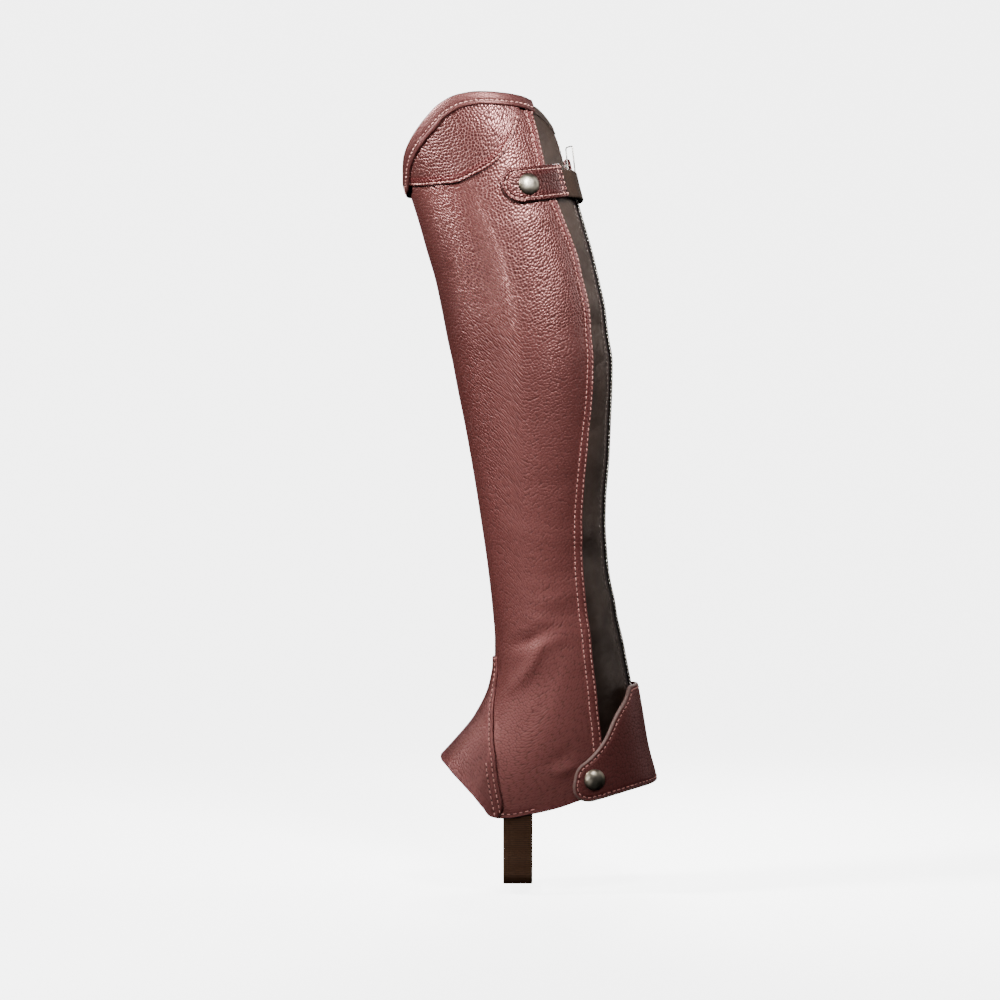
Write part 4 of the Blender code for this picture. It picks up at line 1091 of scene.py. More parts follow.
def path_object(name, lines, offsets):
    """Lines on the leg as edges, with the outward direction stored on their points."""
    points, ups, edges = [], [], []
    for line, offset in zip(lines, offsets):
        start = len(points)
        height = offset(*line) if callable(offset) else offset
        points += (leg(*line, height) * MM).tolist()
        ups += outward(*line).tolist()
        edges += [(k, k + 1) for k in range(start, len(points) - 1)]
    mesh = bpy.data.meshes.new(name)
    mesh.from_pydata(points, edges, [])
    layer = mesh.attributes.new("up", "FLOAT_VECTOR", "POINT")
    layer.data.foreach_set("vector", np.asarray(ups, dtype=np.float32).ravel())
    carrier = bpy.data.objects.new(name, mesh)
    bpy.context.scene.collection.objects.link(carrier)
    return carrier


def grown(carrier, tree, values):
    """Runs a geometry tree on an object with named inputs, and keeps the result as a plain mesh."""
    modifier = carrier.modifiers.new(tree.name, "NODES")
    modifier.node_group = tree
    for item in tree.interface.items_tree:
        if item.in_out == "INPUT" and item.name in values:
            modifier[item.identifier] = values[item.name]
    depsgraph = bpy.context.evaluated_depsgraph_get()
    mesh = bpy.data.meshes.new_from_object(carrier.evaluated_get(depsgraph))
    carrier.modifiers.clear()
    carrier.data = mesh
    mesh.name = carrier.name
    return carrier


TREES = {}


def stitched(name, lines, offsets, thread="thread"):
    """Stitch rows on lines of the leg surface."""
    look = bpy.context.scene.half_chap_looks.thread
    if "stitch" not in TREES:
        TREES["stitch"] = stitch_tree()
    carrier = path_object(name, lines, offsets)
    grown(carrier, TREES["stitch"], {
        "Pitch": look.pitch * MM, "Length": look.length * MM, "Thickness": look.thickness * MM,
        "Rise": look.rise * MM, "Thread": finish_of(thread), "Hole": finish_of("hole")})
    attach(carrier, CHAP)
    return carrier


# ---------------------------------------------------------------- stitch rows and levels
SINK = 0.12                 # the thread's path lies this far under the face
# How far each row is sewn from its piece's edge
OUTER_ROWS = (1.5, 6.0)
ZIP_ROWS = (2.2, 6.4)
HEM_ROW = 3.4
KNEE_ROW = 1.7
INSTEP_ROWS = (2.4, 5.7)
TAB_ROW = 2.6
TAB_END_ROWS = (1.8, 5.2)
HEEL_ROW = 3.0
BINDING_ROW = 5.2
STRETCH_ROW = 1.5


def outer_rows():
    edge = upright(outer_edge, -300.0, 154.0)
    return [inset(edge, distance) for distance in OUTER_ROWS]


def inner_zip_rows():
    edge = upright(inner_leather_edge, -288.0, 127.0)
    return [inset(edge, -distance) for distance in ZIP_ROWS]


def hem_rows():
    """Short rows that hold the stirrup elastic on both sides."""
    outer = inset(level(hem_height, 80.0, 93.0, 0.8), HEM_ROW)
    return [outer, (-outer[0], outer[1])]


def knee_row():
    return inset(level(knee_seam, KNEE_ENDS[0] + 1.5, KNEE_ENDS[1] - 4.0), KNEE_ROW)


def instep_edge(side):
    angles, heights = level(instep_top, 17.0, 80.0, 0.5)
    return side * angles, heights


def instep_rows():
    """Two rows on each side; the inner one runs only on the lower part of the arm."""
    rows = []
    for side in (1, -1):
        first, second = (inset(instep_edge(side), -side * distance) for distance in INSTEP_ROWS)
        rows += [first, cut_line(second, lambda angles, heights: heights < -287.0)]
    return [cut_line(row, lambda angles, heights: heights > hem_height(angles) + 2.0) for row in rows]


def tab_centre(angle):
    """Height of the top tab's middle line."""
    start, end = TOP_TAB_ENDS
    return mix(*TOP_TAB_HEIGHTS, np.clip((angle - start) / (end - start), 0, 1))


def tab_half(angle):
    """Half the top tab's width, which closes in a round at its free end."""
    start = TOP_TAB_ENDS[0]
    round_end = start + TOP_TAB_HALF / float(mm_per_degree(start, TOP_TAB_HEIGHTS[0]))
    part = np.clip((round_end - angle) / (round_end - start), 0, 1)
    return TOP_TAB_HALF * np.sqrt(1 - part * part)


def tab_low(angle):
    return tab_centre(angle) - tab_half(angle)


def tab_high(angle):
    return tab_centre(angle) + tab_half(angle)


def top_tab_rows():
    edge = inset(outline(tab_low, tab_high, *TOP_TAB_ENDS), -TAB_ROW)
    end = TOP_TAB_ENDS[1]
    around = float(mm_per_degree(end, TOP_TAB_HEIGHTS[1]))
    low, high = TOP_TAB_HEIGHTS[1] - TOP_TAB_HALF + 2.0, TOP_TAB_HEIGHTS[1] + TOP_TAB_HALF - 2.0
    ends = [upright(at_angle(end - gap / around), low, high) for gap in TAB_END_ROWS]
    return [cut_line(edge, lambda angles, heights: angles < end - 1.0)] + ends


def heel_rows():
    edge = inset(outline(heel_bottom, heel_top, HEEL_TAB[0].angle, HEEL_TAB[-1].angle), -HEEL_ROW)
    seam = upright(at_angle(HEEL_TAB[-1].angle - 4.0), -300.0, -262.0)
    return [cut_line(edge, lambda angles, heights: angles < HEEL_TAB[-1].angle - 4.5), seam]


def binding_row():
    return inset(level(rim_height, -179.0, 138.0), -BINDING_ROW)


def knee_cover(angle):
    """1 where the knee piece lies under the binding, 0 elsewhere."""
    return eased(angle, -42.0, 28.0) - eased(angle, 131.0, 8.0)


def binding_gap(angle):
    """The face that the binding lies on: the leather, or the knee piece on it."""
    return LEATHER + SEAM + (OVERLAY[1] - LEATHER) * knee_cover(angle)


def binding_level(angle, height):
    return binding_gap(angle) + BINDING_THICK - SINK


def tab_lift(angle):
    """How far the strap's end lifts the top tab."""
    return 0.8 * eased(angle, 128.0, 18.0)


def heel_lift(angle, height):
    """The heel piece stands off at its peak, and comes down to the leather where it is sewn."""
    peak = eased(height, -290.0, 55.0) * eased(angle, 125.0, 25.0)
    sewn = eased(angle, 186.0, 20.0)
    return peak * (1 - sewn) - (HEEL_LAYER[0] - OVERLAY[0]) * sewn


def elastic_level(angle):
    """Inner face of the top strap."""
    leaving, over_zip, landed = ELASTIC_LEVELS
    rise = eased(angle, 143.0, 20.0)
    fall = eased(angle, 182.0, 20.0)
    return mix(mix(leaving, over_zip, rise), landed, fall)


# ---------------------------------------------------------------- leather pieces
def edge_columns(edge, steps, side):
    """Lines at a number of steps from an edge."""
    return [beside(edge, side * step) for step in steps]


def between(first, second, count):
    """Lines spread evenly between two lines."""
    shares = np.linspace(0, 1, count + 2)[1:-1]
    return [lambda at, share=share: mix(first(at), second(at), share) for share in shares]


def risen(curve, distance):
    """A curve moved straight up."""
    return lambda angle: curve(angle) + distance


def panel_rows(low, high, count, steps=EDGE_STEPS):
    """Row lines: close together at the low edge, then even up to the high edge."""
    starts = [risen(low, step) for step in steps]
    return starts + between(starts[-1], high, count) + [high]


def leather_face(grid):
    """Outer offset of the main leather: thick where its edge is turned under, thin beside the zip."""
    around = mm_per_degree(grid.angles, grid.heights)
    from_edge = (outer_edge(grid.heights) - grid.angles) * around
    from_zip = (grid.angles - inner_leather_edge(grid.heights)) * around
    turned = smooth((TURNED_WIDTH - from_edge) / 0.9)
    skived = smooth((SKIVED_WIDTH - from_zip) / 2.0)
    return LEATHER + TURNED_EXTRA * turned - SKIVED * skived


def make_main_leather():
    columns = edge_columns(inner_leather_edge, EDGE_STEPS, 1)
    outer = edge_columns(outer_edge, EDGE_STEPS, -1)[::-1]
    columns = columns + between(columns[-1], outer[0], 142) + outer
    grid = make_grid(columns, panel_rows(hem_height, rim_height, 196, EDGE_STEPS[:9]), -300, 150)
    rows = outer_rows() + inner_zip_rows() + hem_rows()
    piece = shell("main_leather", grid, 0.0, leather_face(grid),
                  [finish_of("leather"), finish_of("dark_edge")], rows=rows, groove=(0.42, 0.9))
    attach(piece, CHAP)
    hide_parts("main_panel")
    faces = [LEATHER + TURNED_EXTRA] * 2 + [LEATHER - SKIVED] * 2 + [LEATHER] * 2
    sewn = stitched("main_stitches", rows, [face - SINK * 2 for face in faces])


def make_knee_leather():
    start, end = KNEE_ENDS
    columns = [at_angle(a) for a in np.linspace(start, end, 96)]
    steps = (0.0, 0.3, 0.7, 1.2, 1.7, 2.2, 2.8, 3.6, 4.6)

    def high(angle):
        return rim_height(angle) - 0.5

    def low(step):
        return lambda angle: knee_seam(angle) + step * np.clip((high(angle) - knee_seam(angle)) / 9.0, 0, 1)

    starts = [low(step) for step in steps]
    grid = make_grid(columns, starts + between(starts[-1], high, 44) + [high], 100, 160)
    row = knee_row()
    piece = shell("knee_leather", grid, OVERLAY[0], OVERLAY[1],
                  [finish_of("overlay"), finish_of("dark_edge")], rows=[row], groove=(0.4, 0.8))
    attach(piece, CHAP)
    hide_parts("knee_piece")
    sewn = stitched("knee_stitches", [row], [OVERLAY[1] - SINK * 2])


def fold_rings(line, gap, inner_gap, thick, width, bulge):
    """Closed sections of a strip folded over an edge, from its outer low edge over the fold and down."""
    angles, heights = line
    here = bare(angles, heights)
    run = np.gradient(here, axis=0)
    run /= np.linalg.norm(run, axis=1, keepdims=True)
    normal = outward(angles, heights)
    up = np.cross(normal, run)
    up *= np.where(up[:, 2:] < 0, -1.0, 1.0)
    steep = np.abs(run[:, 2])
    drop = width / np.sqrt(1 - np.minimum(steep, 0.75) ** 2)
    shares = (0.0, 0.04, 0.1, 0.2, 0.28, 0.34, 0.4, 0.5, 0.62, 0.75, 0.88)
    turns = np.radians((0, 20, 40, 60, 80, 100, 120, 140, 160, 180))

    def contour(outer_offset, inner_offset, rise, puff):
        points = []
        for share in shares:
            crown = np.exp(-((share - 0.68) / 0.2) ** 2)
            sewn = np.exp(-((share - 0.34) / 0.07) ** 2)
            swell = puff * (crown - 0.8 * sewn)
            edge = -0.45 * thick * (1 - smooth(share / 0.08)) * (puff > 0)
            points.append(leg(angles, heights - drop * (1 - share), outer_offset + swell + edge))
        centre = (outer_offset + inner_offset) / 2
        half = (outer_offset - inner_offset) / 2
        base = leg(angles, heights, 0.0)
        for turn in turns:
            out = np.broadcast_to(centre + half * math.cos(turn), angles.shape)[:, None]
            points.append(base + normal * out + up * (rise * math.sin(turn)))
        for share in shares[::-1]:
            points.append(leg(angles, heights - drop * (1 - share), inner_offset))
        return np.stack(points, axis=1)

    outside = contour(gap + thick, inner_gap - thick, bulge, 0.22)
    inside = contour(gap, inner_gap, bulge - thick, 0.0)
    return np.concatenate((outside, inside[:, ::-1]), axis=1)


def run_length(points):
    """Distance along a run of points from its first one."""
    return np.concatenate(([0.0], np.cumsum(np.linalg.norm(np.diff(points, axis=0), axis=1))))


def fold_uv(rings):
    """UV map of a folded strip: along its outer face below the fold, and round its middle section."""
    along = run_length(rings[:, 10])
    around = run_length(rings[len(rings) // 2])
    return np.stack(np.broadcast_arrays(along[:, None], around[None, :]), -1)


def make_binding():
    start = float(inner_leather_edge(135.0)) + 0.5
    end = float(outer_edge(161.5)) - 0.3
    line = level(rim_height, start, end, 0.9)
    gap = binding_gap(line[0])
    inner_gap = mix(-SEAM, STRETCH[0] - SEAM, eased(line[0], 119.0, 8.0))
    rings = fold_rings(line, gap, inner_gap, BINDING_THICK, BINDING_WIDTH, BINDING_BULGE)
    piece = ring_mesh("rim_binding", rings, False, [finish_of("binding")], fold_uv(rings))
    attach(piece, CHAP)
    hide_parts("top_binding")
    sewn = stitched("binding_stitches", [binding_row()], [binding_level])


def make_instep():
    half = np.concatenate((np.arange(0, 15.5, 1.5), np.arange(15.6, 25, 0.6), np.arange(25, 80.2, 1.05)))
    columns = [at_angle(a) for a in np.concatenate((-half[:0:-1], half))]
    shares = 0.5 - 0.5 * np.cos(np.linspace(0, math.pi, 74))
    shares = mix(np.linspace(0, 1, 74), shares, 0.6)
    rows = [lambda angle, share=share: mix(hem_height(angle), instep_top(angle), share) for share in shares]
    grid = make_grid(columns, rows, -320, -220)
    lines = instep_rows()
    piece = shell("instep_leather", grid, OVERLAY[0], OVERLAY[1] + 0.1,
                  [finish_of("instep"), finish_of("instep")],
                  edge=Edge(1.0, 0.4, 0.7), rows=lines, groove=(0.4, 0.8))
    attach(piece, CHAP)
    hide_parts("instep_piece")
    sewn = stitched("instep_stitches", lines, [OVERLAY[1] - SINK] * len(lines))


def tab_grid(low, high, start, end, columns, rows):
    """A grid on a tab, with its columns crowded at the rounded end."""
    places = start + (end - start) * np.linspace(0.002, 1, columns) ** 1.7
    shares = mix(np.linspace(0, 1, rows), 0.5 - 0.5 * np.cos(np.linspace(0, math.pi, rows)), 0.6)
    lines = [lambda angle, share=share: mix(low(angle), high(angle), share) for share in shares]
    return make_grid([at_angle(a) for a in places], lines, float(low(start)), float(high(start)))


def make_top_tab():
    grid = tab_grid(tab_low, tab_high, *TOP_TAB_ENDS, 78, 40)
    lift = tab_lift(grid.angles)
    lines = top_tab_rows()
    piece = shell("top_tab_leather", grid, TOP_TAB_LAYER[0] + lift, TOP_TAB_LAYER[1] + lift,
                  [finish_of("tab"), finish_of("dark_edge")], edge=Edge(1.3, 0.5, 0.0), rows=lines,
                  groove=(0.5, 0.8))
    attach(piece, CHAP)
    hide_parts("top_tab")
    offset = TOP_TAB_LAYER[1] - SINK * 2
    sewn = stitched("top_tab_stitches", lines, [lambda a, z: offset + tab_lift(a)] * len(lines))


def make_heel_piece():
    start, end = HEEL_TAB[0].angle, HEEL_TAB[-1].angle
    grid = tab_grid(heel_bottom, heel_top, start, end, 120, 70)
    lift = heel_lift(grid.angles, grid.heights)
    lines = heel_rows()
    piece = shell("heel_leather", grid, HEEL_LAYER[0] + lift, HEEL_LAYER[1] + lift,
                  [finish_of("leather"), finish_of("edge")], edge=Edge(1.9, 0.3, 1.5), rows=lines,
                  groove=(0.5, 0.9))
    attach(piece, CHAP)
    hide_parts("heel_tab")
    levels = [lambda a, z: HEEL_LAYER[1] + heel_lift(a, z) - SINK * 2] * len(lines)
    sewn = stitched("heel_stitches", lines, levels)


# ---------------------------------------------------------------- elastic pieces
def make_stretch():
    start = beside(outer_edge, -EDGE_OVERLAP)
    ends = (0.0, 0.3, 0.8, 1.5, 2.3, 3.4)
    zip_side = [beside(outer_stretch_edge, -step) for step in ends][::-1]
    columns = [start] + between(start, zip_side[0], 26) + zip_side

    def high(angle):
        return stretch_rim(angle) - 0.3

    grid = make_grid(columns, panel_rows(risen(hem_height, 0.5), high, 210, EDGE_STEPS[:1]), -290, 140)
    lines = [inset(upright(outer_stretch_edge, -292.0, 138.0), STRETCH_ROW)]
    piece = shell("stretch_cloth", grid, STRETCH[0], STRETCH[1], [finish_of("stretch"), finish_of("stretch")],
                  edge=Edge(0.5, 0.5, 0.3), rows=lines, groove=(0.3, 0.9))
    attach(piece, CHAP)
    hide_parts("stretch_panel")
    sewn = stitched("stretch_stitches", lines, [STRETCH[1] - SINK], "dark_thread")

    rim = level(stretch_rim, float(outer_edge(158.0)) + 1.3, float(outer_stretch_edge(150.0)), 0.8)
    rings = fold_rings(rim, STRETCH[1] + SEAM, STRETCH[0] - SEAM, 0.7, 5.5, 1.0)
    band = ring_mesh("stretch_band", rings, False, [finish_of("stretch")], fold_uv(rings))
    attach(band, CHAP)
    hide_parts("stretch_hem")


def make_top_strap():
    start, end = ELASTIC_ENDS

    def centre(angle):
        return mix(*ELASTIC_HEIGHTS, (angle - start) / (end - start))

    columns = [at_angle(a) for a in np.linspace(start, end, 150)]
    rows = [risen(centre, step) for step in np.linspace(-ELASTIC_HALF, ELASTIC_HALF, 24)]
    grid = make_grid(columns, rows, ELASTIC_HEIGHTS[0] - ELASTIC_HALF, ELASTIC_HEIGHTS[0] + ELASTIC_HALF)
    ribs = 0.06 * np.sin(grid.across * 2 * math.pi / RIB)
    inner = elastic_level(grid.angles)
    seam = upright(at_angle(end - 3.0), ELASTIC_HEIGHTS[1] - 8.5, ELASTIC_HEIGHTS[1] + 8.5)
    piece = shell("top_strap", grid, inner, inner + ELASTIC_THICK + ribs, [finish_of("strap")] * 2,
                  edge=Edge(0.6, 0.5, 0.0), rows=[seam], groove=(0.3, 0.7))
    swap_cut(piece)
    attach(piece, CHAP)
    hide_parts("top_elastic")
    sewn = stitched("strap_stitches", [seam], [ELASTIC_LEVELS[2] + ELASTIC_THICK - SINK], "dark_thread")


def swap_cut(piece):
    """Turns a strap's UV map, so that its V runs along the strap."""
    layer = piece.data.uv_layers[UV_NAME]
    values = np.empty(len(piece.data.loops) * 2, dtype=np.float32)
    layer.data.foreach_get("uv", values)
    layer.data.foreach_set("uv", values.reshape(-1, 2)[:, ::-1].ravel())


def outer_angle(x, height):
    """The angle on the outer side at which the leg reaches an X."""
    front, back = float(section_front(height)), float(section_back(height))
    return math.degrees(math.acos(((front + back) / 2 - x) / ((back - front) / 2)))


def stirrup_path(x):
    """Outer face of the stirrup at one of its edges, from the outer hem, under the sole, to the inner hem."""
    hem = float(hem_height(90.0))
    arm = (hem + STIRRUP_SEWN, hem + 6.0, hem - 1.0)
    points = [(-float(leg(outer_angle(x, z), z, STIRRUP_LEVEL)[1]), z) for z in arm]
    bend = STIRRUP_BOTTOM + SOLE_CORNER
    points.append((mix(points[-1][0], SOLE_HALF_WIDTH, 0.7), mix(hem, bend, 0.6)))
    for turn in np.radians(np.linspace(0, 90, 10)):
        points.append((SOLE_HALF_WIDTH - SOLE_CORNER * (1 - math.cos(turn)),
                       bend - SOLE_CORNER * math.sin(turn)))
    half = np.array(points)
    whole = np.concatenate((half * (-1, 1), half[::-1]))
    length = run_length(whole)
    places = np.linspace(0, length[-1], 620)
    return np.stack([np.interp(places, length, whole[:, k]) for k in (0, 1)], -1), places


def make_stirrup():
    front, places = stirrup_path(STIRRUP_X[0])
    back, _ = stirrup_path(STIRRUP_X[1])
    ribs = 0.07 * np.sin(places * 2 * math.pi / RIB)
    shares = (0.0, 0.03, 0.12, 0.3, 0.5, 0.7, 0.88, 0.97, 1.0)
    corner = (0.6, 0.15, 0.0, 0.0, 0.0, 0.0, 0.0, 0.15, 0.6)
    rings = []
    run = np.gradient((front + back) / 2, axis=0)
    run /= np.linalg.norm(run, axis=1, keepdims=True)
    inward = np.stack((-run[:, 1], run[:, 0]), -1)
    for side in (0, 1):
        order = range(len(shares)) if side == 0 else reversed(range(len(shares)))
        for k in order:
            flat = mix(front, back, shares[k])
            depth = corner[k] * 0.5 - ribs if side == 0 else STIRRUP_THICK - corner[k] * 0.5 + ribs
            at = flat + inward * np.broadcast_to(depth, places.shape)[:, None]
            x = np.full(len(places), mix(*STIRRUP_X, shares[k]))
            rings.append(np.column_stack((x, at)))
    rings = np.stack(rings, axis=1)
    around = run_length(rings[0])
    uv = np.stack(np.broadcast_arrays(around[None, :], places[:, None]), -1)
    piece = ring_mesh("stirrup_webbing", rings, False, [finish_of("webbing")], uv)
    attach(piece, CHAP)
    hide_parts("stirrup_elastic")


# ---------------------------------------------------------------- zip
def make_tapes():
    inner_start = beside(zip_line, CHAIN_WIDTH / 2 + TAPE_SHOWING)
    for side, name in ((-1, "outer"), (1, "inner")):
        under = STRETCH[0] - 0.6 if side < 0 else -0.4      # under the elastic panel, or the leather
        panel = outer_stretch_edge if side < 0 else inner_start
        far = beside(panel, side * TAPE_OVERLAP)
        near = beside(zip_line, side * 0.3)
        columns = [near] + between(near, far, 12) + [far]
        columns = columns if side > 0 else columns[::-1]

        def high(angle):
            return stretch_rim(angle) - TAPE_TOP_DROP

        grid = make_grid(columns, panel_rows(risen(hem_height, 1.0), high, 180, EDGE_STEPS[:1]), -290, 130)
        past = side * (grid.angles - panel(grid.heights)) * mm_per_degree(grid.angles, grid.heights)
        beside_teeth = TAPE_TOP - TAPE_SINK * eased(grid.heights, TAPE_SINK_FROM, 4.0)
        outer = mix(beside_teeth, under, eased(past, -2.2, 2.0))
        piece = shell("zip_tape_" + name + "_cloth", grid, outer - TAPE_THICK, outer,
                      [finish_of("tape")] * 2, edge=Edge(0.3, 0.6, 0.0))
        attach(piece, CHAP)
        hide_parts("zip_tape_" + name)


def make_teeth():
    low = float(hem_height(ZIP_ANGLE)) + 6.0
    line = upright(zip_line, low, TEETH_TOP)
    carrier = path_object("zip_teeth", [line], [TEETH_LEVEL])
    grown(carrier, tooth_tree(), {"Metal": finish_of("teeth")})
    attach(carrier, CHAP)
    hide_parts("zip_chain")


def pull_frame():
    """The pull's hinge: X along its axis, Y outwards, Z up the pull."""
    joint = frame["joints"][0]
    origin = Vector(joint["pos_m"])
    x = -Vector(joint["axis"]).normalized()
    low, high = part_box("zip_pull")
    z = ((Vector(low) + Vector(high)) / 2 - origin)
    z = (z - x * z.dot(x)).normalized()
    turned = Matrix((x, z.cross(x), z)).transposed().to_4x4()
    turned.translation = origin
    return turned


def placed(points, matrix):
    """Points in millimetres in a frame whose origin is in metres."""
    return np.array([matrix @ (Vector(p) * MM) for p in np.asarray(points).reshape(-1, 3)]) / MM


def rounded_loop(half, low, high, corner, steps=7):
    """A closed upright rectangle with round corners, in X and Z."""
    path = []
    for x, z, first in ((half - corner, low + corner, -90), (half - corner, high - corner, 0),
                        (corner - half, high - corner, 90), (corner - half, low + corner, 180)):
        for step in range(steps):
            turn = math.radians(first + 90 * step / (steps - 1))
            path.append((x + corner * math.cos(turn), 0.0, z + corner * math.sin(turn)))
    return path


def make_pull():
    matrix = pull_frame() @ Matrix.Rotation(math.radians(PULL_YAW), 4, "Z")
    loop = placed(rounded_loop(PULL_HALF, 0.0, PULL_LENGTH, PULL_CORNER), matrix)
    out = tuple(matrix.to_3x3() @ Vector((0, 1, 0)))
    piece = wire("pull_wire", loop, (PULL_WIRE, PULL_WIRE), 12, True, [finish_of("teeth")], out)
    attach(piece, PULL)
    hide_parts("zip_pull")


def make_slider():
    """Slider body with its flanges, crown and bail."""
    matrix = pull_frame() @ Matrix.Rotation(math.radians(SLIDER_TILT), 4, "X")
    matrix = matrix @ Matrix.Translation(Vector(SLIDER_SHIFT) * MM)
    # height and half width of the body, from its foot to its shoulders
    body_rows = ((-6.5, 2.6), (-6.2, 3.0), (-5.0, 3.4), (-2.5, 3.5), (0.0, 3.7), (2.5, 4.1), (4.4, 4.2),
                 (5.6, 3.7), (6.3, 2.8), (6.5, 1.9))
    # share of that half width, and distance out, from its flange to its crown
    profile = ((1.0, -0.5), (1.04, -0.2), (1.04, 0.35), (0.96, 0.75), (0.7, 1.15), (0.38, 1.55), (0.2, 1.65))
    rings = []
    for z, half in body_rows:
        ring = [(half * share, y, z) for share, y in profile]
        ring += [(-x, y, z) for x, y, z in reversed(ring)]
        rings.append(placed(ring, matrix))
    body = ring_mesh("slider_body", rings, False, [finish_of("zip")])
    arch = [(0.0, 1.1, -3.2), (0.0, 2.0, -2.7), (0.0, 2.9, -1.6), (0.0, 3.6, -0.2), (0.0, 3.95, 1.6),
            (0.0, 3.95, 3.6), (0.0, 3.7, 4.8), (0.0, 3.0, 5.6), (0.0, 2.2, 5.7), (0.0, 1.2, 5.5)]
    side = tuple(matrix.to_3x3() @ Vector((1, 0, 0)))
    bail = wire("slider_bail", placed(arch, matrix), (0.28, 1.2), 12, False, [finish_of("zip")], side)
    piece = joined("slider", [body, bail])
    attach(piece, CHAP)
    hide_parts("zip_slider")
    for node in ("zip_stop_outer", "zip_stop_inner"):
        repaint(node, "zip")


def repaint(node, finish):
    """Gives a frame node one of the finishes."""
    piece = frame["nodes"][node]
    piece.data.materials.clear()
    piece.data.materials.append(finish_of(finish))


# ---------------------------------------------------------------- snaps
def turned_cap(name, finish, centre, offset, lean):
    """A domed snap cap with a rolled rim, turned about the leg's outward direction."""
    origin = Vector(leg(centre.angle, centre.height, offset).tolist())
    out = Vector(outward(centre.angle, centre.height).tolist())
    out = (out + Vector(lean)).normalized()
    x = Vector((0, 0, 1)).cross(out).normalized()
    matrix = Matrix((x, out.cross(x), out)).transposed()
    # share of the cap's radius, and share of its rise, from its hidden foot to its crown
    profile = ((0.6, 0.0), (0.93, 0.0), (0.985, 0.03), (1.0, 0.1), (0.99, 0.18), (0.955, 0.26), (0.9, 0.38),
               (0.82, 0.53), (0.72, 0.68), (0.6, 0.81), (0.46, 0.91), (0.32, 0.965), (0.18, 0.99),
               (0.06, 1.0))
    sides = 48
    turn = np.linspace(0, 2 * math.pi, sides, endpoint=False)
    rings, uv = [], []
    for share, lift in profile:
        radius, rise = share * SNAP_RADIUS, lift * SNAP_RISE
        ring = [matrix @ Vector((radius * math.cos(t), radius * math.sin(t), rise)) + origin for t in turn]
        rings.append([tuple(p) for p in ring])
        uv.append([(t * SNAP_RADIUS, radius) for t in turn])
    return ring_mesh(name, rings, False, [finish_of(finish)], uv)


def make_snaps():
    tab_face = TOP_TAB_LAYER[1] + SEAM
    heel_face = HEEL_LAYER[1] + SEAM
    for name, finish, centre, face, lean in (("top", "top_snap", TOP_SNAP, tab_face, (0.0, 0.0, 0.02)),
                                             ("heel", "snap", HEEL_SNAP, heel_face, (0.02, 0.0, 0.0))):
        cap = turned_cap(name + "_cap", finish, centre, face, lean)
        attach(cap, CHAP)
        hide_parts(name + "_snap_cap")
        repaint(name + "_snap_stud", "snap")


# ---------------------------------------------------------------- stage
def make_stage():
    """A pale paper sweep, soft lights and the camera."""
    look = bpy.context.scene.half_chap_looks.stage
    radius, back, height, reach = 1.0, 3.0, 3.0, 4.0
    profile = [(-reach, FLOOR), (back - radius, FLOOR)]
    for turn in np.radians(np.linspace(6, 90, 15)):
        profile.append((back - radius + radius * math.sin(turn), FLOOR + radius * (1 - math.cos(turn))))
    profile.append((back, height))
    points = [(x, y, z) for x in (-reach, reach) for y, z in profile]
    count = len(profile)
    faces = [(k, count + k, count + k + 1, k + 1) for k in range(count - 1)]
    mesh = bpy.data.meshes.new("sweep")
    mesh.from_pydata(points, [], faces)
    sweep = finished("sweep", mesh, [finish_of("paper")])
    sweep.visible_glossy = False
    sweep.visible_diffuse = False

    softboxes = (
        Softbox("left_softbox", (-0.56, -0.22, 0.4), (0.15, 0.2), look.left_power, (0.0, 0.0, 0.16), 75),
        Softbox("key_softbox", (0.14, -0.54, 0.4), (0.15, 0.2), look.key_power, (0.0, 0.0, 0.16), 75),
        Softbox("right_softbox", (0.6, 0.1, 0.28), (0.15, 0.4), look.right_power, (0.03, 0.0, 0.05), 75),
        Softbox("low_softbox", (-0.6, -0.75, -0.15), (0.3, 0.4), look.low_power, (0.0, 0.0, -0.37), 50),
        Softbox("heel_softbox", (0.6, 0.15, -0.12), (0.2, 0.2), look.heel_power, (0.03, 0.0, -0.25), 60),
        Softbox("top_softbox", (0.0, -0.35, 1.5), (1.0, 0.7), look.top_power, (0.0, 0.0, -0.1), 180),
        Softbox("rear_softbox", (0.03, 0.9, 0.7), (0.5, 0.4), look.rear_power, (0.0, 0.0, -0.05), 120),
    )
    for softbox in softboxes:
        light = bpy.data.lights.new(softbox.name, "AREA")
        light.shape = "RECTANGLE"
        light.size, light.size_y = softbox.size
        light.spread = math.radians(softbox.spread)
        light.energy = softbox.watts
        lamp = bpy.data.objects.new(softbox.name, light)
        lamp.location = softbox.place
        towards = Vector(softbox.aim) - Vector(softbox.place)
        lamp.rotation_euler = towards.to_track_quat("-Z", "Y").to_euler()
        bpy.context.scene.collection.objects.link(lamp)

    world = bpy.data.worlds.new("studio")
    bpy.context.scene.world = world
    world.use_nodes = True
    background = world.node_tree.nodes["Background"]
    background.inputs["Color"].default_value = (1.0, 1.0, 1.0, 1.0)
    background.inputs["Strength"].default_value = look.backdrop
    world.cycles_visibility.diffuse = False
    world.cycles_visibility.glossy = False

    camera = bpy.data.cameras.new("camera")
    camera.sensor_width = SENSOR
    camera.lens = SENSOR * look.distance / look.view_width
    holder = bpy.data.objects.new("camera", camera)
    holder.location = (CAMERA_X, -look.distance, CAMERA_Z)
    holder.rotation_euler = (math.pi / 2, 0.0, 0.0)
    bpy.context.scene.collection.objects.link(holder)
    bpy.context.scene.camera = holder


# ---------------------------------------------------------------- looks, operators and panel
def colour_property(name, description, default):
    return FloatVectorProperty(name=name, description=description, subtype="COLOR", size=3, min=0.0, max=1.0,
                               default=default)


def share_property(name, description, default):
    return FloatProperty(name=name, description=description, subtype="FACTOR", min=0.0, max=1.0,
                         default=default)


def power_property(name, description, default):
    return FloatProperty(name=name, description=description, unit="POWER", min=0.0, default=default)


